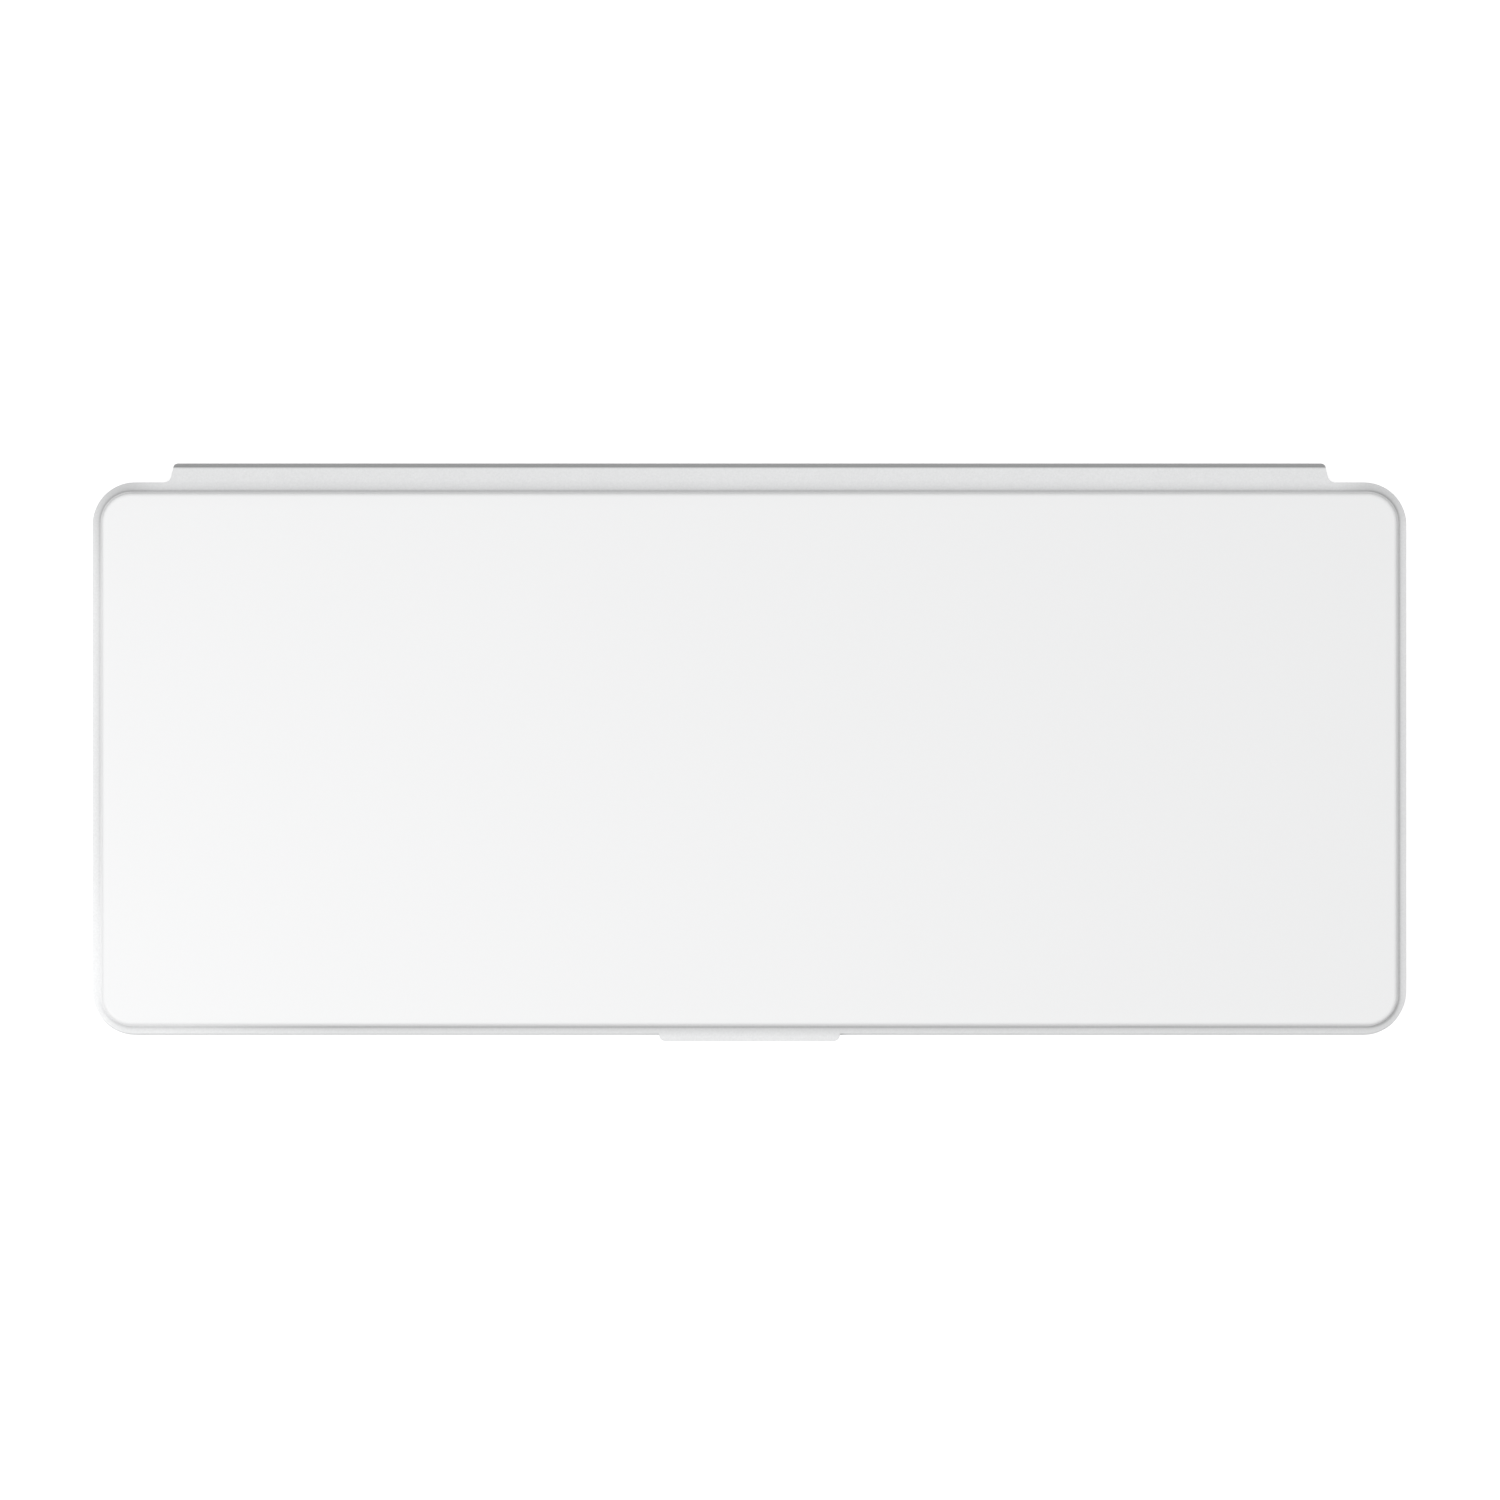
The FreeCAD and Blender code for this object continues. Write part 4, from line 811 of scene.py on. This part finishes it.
places["up_arrow"] = (x, y + (half_depth + ARROW_GAP) / 2, width, half_depth)
places["down_arrow"] = (x, y - (half_depth + ARROW_GAP) / 2, width, half_depth)
worst = max(
    abs((box_mm(name)[0].x + box_mm(name)[1].x) / 2 - place[0])
    + abs((box_mm(name)[0].y + box_mm(name)[1].y) / 2 - place[1])
    for name, place in places.items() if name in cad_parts
)
print(len(places), "keys, furthest from the frame by", round(worst, 4), "mm")

# %% [markdown]
# Key caps and what is printed on them
#
# A cap is a rounded plate with a softened top edge, hollow below, with a shallow dish that guides
# the finger. Two insets with a little depth make the dish and leave a flat middle, where the
# printing lies. Letters and digits are text objects that become meshes, so they can be joined
# with the cap, and the printing gets its own finish.

# %% Make one cap
CAP_BOTTOM = box_mm("key_q")[0].z
CAP_TOP = box_mm("key_q")[1].z
CAP_RADIUS, CAP_EDGE = 1.5, 0.35
DISH = ((0.45, -0.03), (0.6, -0.05))
CAVITY = ((0.9, 0.0), (0.02, -0.7))


def add_cap(bm, x, y, width, depth):
    """A dished, hollow key cap."""
    low = (x - width / 2, y - depth / 2)
    high = (x + width / 2, y + depth / 2)
    base = flat_outline(bm, low, high, CAP_RADIUS, CAP_BOTTOM, segments=5)
    top = round_rim(bm, raise_face(bm, base, CAP_TOP - CAP_BOTTOM), CAP_EDGE)
    bmesh.ops.recalc_face_normals(bm, faces=[f for f in bm.faces if not f.tag])
    for face, steps in ((top, DISH), (base, CAVITY)):
        for thickness, sink in steps:
            inset(bm, face, thickness, sink)
    for f in bm.faces:
        f.tag = True
    return top.calc_center_median().z


# %% Print on a cap
WEIGHT = 0.014
ARROW_RADIUS = 0.95


def embolden(faces, amount):
    """Moves the outline of flat letters outwards, and less far at a sharp corner."""
    pushes = {}
    for edge in [e for face in faces for e in face.edges if e.is_boundary]:
        loop = edge.link_loops[0]
        along = loop.link_loop_next.vert.co - loop.vert.co
        for vert in edge.verts:
            pushes[vert] = pushes.get(vert, Vector()) + along.cross((0, 0, 1)).normalized()
    for vert, push in pushes.items():
        vert.co += push * (2 * amount / max(push.length_squared, 1.0))


def add_words(bm, words, x, y, z, size, align="CENTER"):
    """Words as a thin mesh that lies on a cap."""
    curve = bpy.data.curves.new("words", "FONT")
    curve.body = words
    curve.size = size
    curve.resolution_u = 3
    curve.align_x = align
    curve.align_y = "CENTER"
    text = bpy.data.objects.new("words", curve)
    bpy.context.scene.collection.objects.link(text)
    bpy.context.view_layer.update()
    mesh = bpy.data.meshes.new_from_object(text)
    mesh.transform(Matrix.Translation((x, y, z)))
    first = len(bm.faces)
    bm.from_mesh(mesh)
    bm.faces.ensure_lookup_table()
    for face in bm.faces[first:]:
        face.material_index = 1
        face.tag = True
    embolden(bm.faces[first:], WEIGHT * size)
    bpy.data.objects.remove(text)
    bpy.data.curves.remove(curve)
    bpy.data.meshes.remove(mesh)


def add_arrow(bm, x, y, z, turn):
    """A small filled triangle that points along the turn."""
    place = Matrix.Translation((x, y, z)) @ Matrix.Rotation(turn, 4, "Z")
    made = bmesh.ops.create_circle(bm, cap_ends=True, segments=3, radius=ARROW_RADIUS,
                                   matrix=place)
    face = made["verts"][0].link_faces[0]
    if face.normal.z < 0:
        face.normal_flip()
    face.material_index = 1
    face.tag = True


# %% What each key says
PAIRS = {
    "grave": "`~", "digit_1": "1!", "digit_2": "2@", "digit_3": "3#", "digit_4": "4$",
    "digit_5": "5%", "digit_6": "6^", "digit_7": "7&", "digit_8": "8*", "digit_9": "9(",
    "digit_0": "0)", "minus": "-_", "equals": "=+", "open_bracket": "[{",
    "close_bracket": "]}", "backslash": "\\|", "semicolon": ";:", "apostrophe": "'\"",
    "comma": ",<", "period": ".>", "slash": "/?",
}
WORDS = {
    "escape": "esc", "lock": "lock", "tab": "tab", "caps_lock": "caps lock", "fn": "fn",
    "control": "ctrl", "left_option": "alt", "right_option": "alt", "left_command": "cmd",
    "right_command": "cmd", "key_backspace": "backspace", "key_enter": "enter",
    "key_left_shift": "shift", "key_right_shift": "shift",
}
ARROWS = {
    "left_arrow": pi / 2, "up_arrow": 0.0, "down_arrow": pi, "right_arrow": -pi / 2,
}
RIGHT_HAND = ("key_backspace", "key_enter", "key_right_shift", "lock")
print(len(PAIRS) + len(WORDS) + len(ARROWS), "keys with signs besides letters")

# %% Print the right thing on each
LETTER, DIGIT, SIGN, WORD, FUNCTION = 4.4, 3.6, 3.2, 2.5, 2.4
PAIR_RISE = 2.3
WORD_SIDE, WORD_FOOT, SHALLOW = 2.2, 3.3, 9
PRINT_HEIGHT = 0.012
RIDGE_HALF, RIDGE_FRONT, RIDGE_REAR, RIDGE_RADIUS = 1.5, 4.6, 4.2, 0.15
RIDGE_SUNK, RIDGE_HEIGHT = 0.05, 0.16


def print_key(bm, name, x, y, width, depth, z):
    """The legend of a key, by its kind."""
    z += PRINT_HEIGHT
    if name in PAIRS:
        add_words(bm, PAIRS[name][0], x, y - PAIR_RISE, z, DIGIT)
        add_words(bm, PAIRS[name][1], x, y + PAIR_RISE, z, SIGN)
    elif name in WORDS:
        side = 1 if name in RIGHT_HAND else -1
        edge = x + side * (width / 2 - WORD_SIDE)
        lower = y - depth / 2 + WORD_FOOT if depth > SHALLOW else y
        add_words(bm, WORDS[name], edge, lower, z, WORD, "RIGHT" if side > 0 else "LEFT")
    elif name in ARROWS:
        add_arrow(bm, x, y, z, ARROWS[name])
    elif name.startswith("f") and name[1:].isdigit():
        add_words(bm, name.upper(), x, y, z, FUNCTION)
    elif name != "key_space":
        add_words(bm, name[-1].upper(), x, y, z, LETTER)
    if name in ("key_f", "key_j"):
        ridge = flat_outline(bm, (x - RIDGE_HALF, y - RIDGE_FRONT),
                             (x + RIDGE_HALF, y - RIDGE_REAR), RIDGE_RADIUS, z - RIDGE_SUNK,
                             segments=3)
        raise_face(bm, ridge, RIDGE_HEIGHT)
        for face in bm.faces:
            face.tag = True


GROUPS = {
    "function_keys": ["escape", *[f"f{n}" for n in range(1, 13)], "lock"],
    "number_keys": ["grave", *[f"digit_{n}" for n in range(10)], "minus", "equals"],
    "punctuation_keys": ["open_bracket", "close_bracket", "backslash", "semicolon",
                         "apostrophe", "comma", "period", "slash"],
    "modifier_keys": ["tab", "caps_lock", "fn", "control", "left_option", "left_command",
                      "right_command", "right_option"],
    "arrow_keys": ["left_arrow", "up_arrow", "down_arrow", "right_arrow"],
}
grouped = [name for names in GROUPS.values() for name in names]
GROUPS.update({name: [name] for name in places if name not in grouped})

# %% Build every cap
for node, names in GROUPS.items():
    caps = bmesh.new()
    for name in names:
        x, y, width, depth = places[name]
        print_key(caps, name, x, y, width, depth, add_cap(caps, x, y, width, depth))
    cap_piece = finish_piece(f"cap_{node}", caps, [key_plastic, ink], smooth=30.0)
    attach(cap_piece, node)
    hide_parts(node)

# %% [markdown]
# The switch under each key
#
# Two crossed rings fold flat as a key goes down, and a rubber dome under the middle brings it
# back. They can't follow the key as a rigid part, so each set rides on the base.

# %% Make a pair of links and a dome
CIRCUIT_TOP = box_mm("scissor_links")[0].z
LINK_TOP = box_mm("scissor_links")[1].z
LINK_HEIGHT = LINK_TOP - CIRCUIT_TOP
LINK_MIDDLE = (CIRCUIT_TOP + LINK_TOP) / 2
LINK_THICKNESS, LINK_BAR, LINK_RADIUS = 0.5, 0.8, 0.4
OUTER_LINK, INNER_LINK = 11.0, 9.1
LINK_BACK = 3.4
DOME_RADIUS, DOME_BACK, DOME_TAPER = 2.6, 0.95, 0.6


def add_ring(bm, x, y, width, length, tilt):
    """A flat rectangular ring, tilted about X."""
    first = set(bm.verts)
    outer = flat_outline(bm, (-width / 2, -length / 2), (width / 2, length / 2), LINK_RADIUS,
                         -LINK_THICKNESS / 2, segments=2)
    inset(bm, outer, LINK_BAR)
    around = [f for f in faces_at(outer.verts) if f is not outer]
    bmesh.ops.delete(bm, geom=[outer], context="FACES_ONLY")
    grown = bmesh.ops.extrude_face_region(bm, geom=around)["geom"]
    bmesh.ops.translate(bm, vec=(0, 0, LINK_THICKNESS), verts=only(BMVert, grown))
    new = [v for v in bm.verts if v not in first]
    place = Matrix.Translation((x, y, LINK_MIDDLE))
    bmesh.ops.transform(bm, matrix=place @ Matrix.Rotation(tilt, 4, "X"), verts=new)
    bmesh.ops.recalc_face_normals(bm, faces=faces_at(new))


def add_switch(bm, x, y, width, depth):
    """Crossed links with a dome between them."""
    length = depth - LINK_BACK
    tilt = (LINK_HEIGHT - LINK_THICKNESS) / length
    add_ring(bm, x, y, OUTER_LINK, length, tilt)
    add_ring(bm, x, y, INNER_LINK, length, -tilt)
    radius = min(DOME_RADIUS, length / 2 - DOME_BACK)
    dome = bmesh.ops.create_cone(
        bm, cap_ends=True, segments=16, radius1=radius, radius2=radius * DOME_TAPER,
        depth=LINK_HEIGHT, matrix=Matrix.Translation((x, y, LINK_MIDDLE)),
    )
    for face in faces_at(dome["verts"]):
        face.material_index = 1


# %% Put one set under every key
for node, names in GROUPS.items():
    sets = bmesh.new()
    for name in names:
        add_switch(sets, *places[name])
    links_piece = finish_piece(f"links_{node}", sets, [link_plastic, dome_rubber])
    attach(links_piece, "base")
    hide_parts("scissor_links", "rubber_domes")
    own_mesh(links_piece)

# %% [markdown]
# Feet, screws and the power switch
#
# The underside is seen when the keyboard is picked up. It has four long rubber feet, small
# screws with a star socket and a ribbed knob in the side wall.

# %% Make the feet
PAD_HALF_LENGTH, PAD_HALF_WIDTH, PAD_RADIUS, PAD_EDGE = 10, 3, 2.95, 0.2
PAD_FIELD = ((0.7, 0.0), (0.2, -0.08))
feet = bmesh.new()
foot_low, foot_high = box_mm("rubber_feet")
for side_x in (-1, 1):
    for side_y in (-1, 1):
        x = side_x * (foot_high.x - PAD_HALF_LENGTH)
        y = (foot_low.y + foot_high.y) / 2 \
            + side_y * (foot_high.y - foot_low.y - 2 * PAD_HALF_WIDTH) / 2
        face = flat_outline(feet, (x - PAD_HALF_LENGTH, y - PAD_HALF_WIDTH),
                            (x + PAD_HALF_LENGTH, y + PAD_HALF_WIDTH), PAD_RADIUS, foot_high.z)
        face = raise_face(feet, face, foot_low.z - foot_high.z)
        face = round_rim(feet, face, PAD_EDGE)
        turn_out(feet)
        for thickness, depth in PAD_FIELD:
            inset(feet, face, thickness, depth, even=False)
foot_pads = finish_piece("foot_pads", feet, [rubber])
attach(foot_pads, "base")
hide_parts("rubber_feet")

# %% Make the screws
SCREW_BOTTOM = 0.6
HOUSING_TOP, DOOR_TOP = 4.9, 2.0
HOUSING_SCREWS = [
    (side * x, y) for side in (-1, 1) for x in (BASE_HALF - 16.0, 40.0)
    for y in (FRONT_FACE + 2.6, REAR_FACE - 3.3)
]
DOOR_SCREWS = [(-24.8, REAR_FACE - 31.0), (24.8, REAR_FACE - 31.0)]
SHANK_RADIUS = 0.8
HEAD_RADII, HEAD_HEIGHT, HEAD_MIDDLE = (1.15, 1.25), 0.3, 0.55
SOCKET_BACK, SOCKET_DEPTH, SOCKET_STAR, SOCKET_TAPER = 0.5, 0.2, 0.72, 0.02


def add_post(bm, x, y, z, radii, height, segments):
    """A round post about a point."""
    return bmesh.ops.create_cone(bm, cap_ends=True, segments=segments, radius1=radii[0],
                                 radius2=radii[1], depth=height,
                                 matrix=Matrix.Translation((x, y, z)))["verts"]


turned = bmesh.new()
for screws, top in ((HOUSING_SCREWS, HOUSING_TOP), (DOOR_SCREWS, DOOR_TOP)):
    for x, y in screws:
        add_post(turned, x, y, (SCREW_BOTTOM + top) / 2, (SHANK_RADIUS, SHANK_RADIUS),
                 top - SCREW_BOTTOM, 12)
        head = add_post(turned, x, y, HEAD_MIDDLE, HEAD_RADII, HEAD_HEIGHT, 24)
        face = min(faces_at(head), key=lambda f: f.calc_center_median().z)
        inset(turned, face, SOCKET_BACK, even=False)
        for index, vert in enumerate(face.verts):
            pull = SOCKET_STAR if index % 4 in (0, 1) else 1.0
            vert.co.x = x + (vert.co.x - x) * pull
            vert.co.y = y + (vert.co.y - y) * pull
        inset(turned, face, SOCKET_TAPER, -SOCKET_DEPTH, even=False)
screw_set = finish_piece("screw_set", turned, [screw_steel])
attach(screw_set, "base")
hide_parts("screws")

# %% Make the ribbed knob of the power switch
knob_low, knob_high = box_mm("power_switch")
KNOB_LENGTH, KNOB_HEIGHT, KNOB_REACH, KNOB_RADIUS, KNOB_EDGE = 6.3, 1.3, 1.3, 0.6, 0.12
GROOVES = [rib * 0.6 for rib in range(-4, 5)]
GROOVE_HALF, GROOVE_DEPTH = 0.12, 0.2
FLANGE, FLANGE_RADIUS = 0.8, 0.1
knob_y = (knob_low.y + knob_high.y) / 2
knob_z = (knob_low.z + knob_high.z) / 2
knob = bmesh.new()
face = flat_outline(knob, (-KNOB_HEIGHT / 2, -KNOB_LENGTH / 2),
                    (KNOB_HEIGHT / 2, KNOB_LENGTH / 2), KNOB_RADIUS, 0.0, segments=5)
face = raise_face(knob, face, KNOB_REACH)
round_rim(knob, face, KNOB_EDGE, segments=2)
for groove in GROOVES:
    for side in (-GROOVE_HALF, GROOVE_HALF):
        cut(knob, (0, groove + side, 0), (0, 1, 0))
grooves = [
    f for f in knob.faces
    if f.normal.z > 0.9 and any(abs(f.calc_center_median().y - y) < NEAR for y in GROOVES)
]
turn_out(knob)
bmesh.ops.translate(knob, vec=(0, 0, -GROOVE_DEPTH),
                    verts=list({v for f in grooves for v in f.verts}))
flange = flat_outline(knob, (knob_low.z - knob_z, knob_low.y - knob_y),
                      (knob_high.z - knob_z, knob_high.y - knob_y), FLANGE_RADIUS, -FLANGE,
                      segments=2)
raise_face(knob, flange, FLANGE)
turn_out(knob)
stand_up = Matrix.Translation((knob_high.x - KNOB_REACH, knob_y, knob_z)) \
    @ Matrix.Rotation(pi / 2, 4, "Y")
bmesh.ops.transform(knob, matrix=stand_up, verts=knob.verts[:])
switch_knob = finish_piece("switch_knob", knob, [switch_plastic])
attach(switch_knob, "power_switch")
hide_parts("power_switch")

# %% [markdown]
# Finishes for the frame's own pieces
#
# Tray, deck, board, cells and the other hard parts already have their true shape in the frame.
# They keep it, and only get a finish.

# %% Dress the frame's nodes
DRESS = {
    "base_tray": housing, "key_deck": housing, "key_web": housing, "battery_door": housing,
    "support_plate": plate_steel, "membrane_circuit": film, "space_stabiliser": spring_wire,
    "circuit_board": laminate, "coin_cells": cell_steel, "battery_contacts": brass,
    "indicator_lens": lens, "base_magnets": magnet_metal, "cover_magnets": magnet_metal,
    "cover_pads": rubber,
}
for node, finish in DRESS.items():
    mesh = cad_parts[node].data
    mesh.materials.clear()
    mesh.materials.append(finish)
print(len(DRESS), "nodes dressed")

# %% [markdown]
# The table and the light
#
# A catalogue picture stands on pure white. The floor is pale, and rays from the camera see it
# brighter, so it reads as white while the keyboard still drops a soft shadow on it. The sky is a
# dome that is brighter overhead than at the horizon, as a studio's ceiling light is: that is what
# makes slopes read darker than flats. One lamp at the front left makes that corner the brightest.
#
# Once the spine is folded back the keyboard is held in the hand, because the cover then reaches a
# few millimetres below the level of the feet, where a table would hide it. So the floor is tied to
# the spine, and its finish clears away as soon as it isn't level any more.

# %% Lay the floor
FLOOR_HALF, FLOOR_Z = 3000, -0.02
FLOOR_GREY, FLOOR_GLOW = 0.6, 0.7
LEVEL = 0.999


def picture_rays(tree):
    """Above zero for rays that carry the picture: straight, mirrored or through glass."""
    rays = tree.nodes.new("ShaderNodeLightPath").outputs
    return (
        Signal(tree, rays["Is Camera Ray"]) + Signal(tree, rays["Is Glossy Ray"])
        + Signal(tree, rays["Is Transmission Ray"])
    )


floor_mesh = bmesh.new()
rectangle(floor_mesh, (-FLOOR_HALF, -FLOOR_HALF), (FLOOR_HALF, FLOOR_HALF), FLOOR_Z)
white = bpy.data.materials.new("floor_white")
white.use_nodes = True
start = Signal(white.node_tree)
paint = start.node("ShaderNodeBsdfDiffuse", {"Color": grey(FLOOR_GREY)})
glow = start.node("ShaderNodeEmission", {
    "Color": grey(1.0), "Strength": picture_rays(white.node_tree) * FLOOR_GLOW,
})
both = start.node("ShaderNodeAddShader", {0: paint, 1: glow})
upright = start.node("ShaderNodeVectorTransform", {0: (0, 0, 1)}, vector_type="VECTOR",
                     convert_from="OBJECT", convert_to="WORLD")
clear = start.node("ShaderNodeBsdfTransparent")
table = start.node("ShaderNodeMixShader", {0: axis(upright, "Z") > LEVEL, 1: clear, 2: both})
feed(table, white.node_tree.nodes["Material Output"].inputs["Surface"])
floor = finish_piece("floor", floor_mesh, [white])
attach(floor, "spine")

# %% Light the room
HORIZON, ZENITH = 0.36, 1.14
scene = bpy.context.scene
scene.view_settings.view_transform = "Standard"
world = bpy.data.worlds.new("room")
scene.world = world
world.use_nodes = True
start = Signal(world.node_tree)
seen = start.maths("MINIMUM", picture_rays(world.node_tree), 1.0)
direction = start.node("ShaderNodeTexCoord", output="Generated")
upward = start.maths("MAXIMUM", axis(direction, "Z"))
dome = HORIZON + upward * (ZENITH - HORIZON)
sky = world.node_tree.nodes["Background"].inputs
sky["Color"].default_value = grey(1.0)
feed(dome + seen * (1 - dome), sky["Strength"])
print("dome from", HORIZON, "to", ZENITH)

# %% Hang the lamp
LAMP_PLACE = Vector((-0.34, -0.25, 0.46))
LAMP_SIZE, LAMP_POWER = 0.3, 0.78
lamp_data = bpy.data.lights.new("window", "AREA")
lamp_data.shape = "SQUARE"
lamp_data.size = LAMP_SIZE
lamp_data.energy = LAMP_POWER
lamp = bpy.data.objects.new("window", lamp_data)
lamp.location = LAMP_PLACE
lamp.rotation_mode = "QUATERNION"
lamp.rotation_quaternion = (-LAMP_PLACE).to_track_quat("-Z", "Y")
scene.collection.objects.link(lamp)
print("lamp of", LAMP_POWER, "W")

# %% [markdown]
# The camera
#
# The photograph looks straight down through a long lens. At the height of the rim its square
# frame is 287.7 mm wide, which sets the focal length for the chosen distance.

# %% Place the camera
DISTANCE = 1.5
FRAME_WIDTH = 0.2877
SENSOR = 36.0
AIM_X, AIM_Y = 0.0001, 0.00044
camera_data = bpy.data.cameras.new("camera")
camera_data.sensor_width = SENSOR
camera_data.lens = SENSOR * DISTANCE / FRAME_WIDTH
camera = bpy.data.objects.new("camera", camera_data)
camera.location = (AIM_X, AIM_Y, skin_high.z * MM + DISTANCE)
scene.collection.objects.link(camera)
scene.camera = camera
print("lens", round(camera_data.lens, 1), "mm at", DISTANCE, "m")
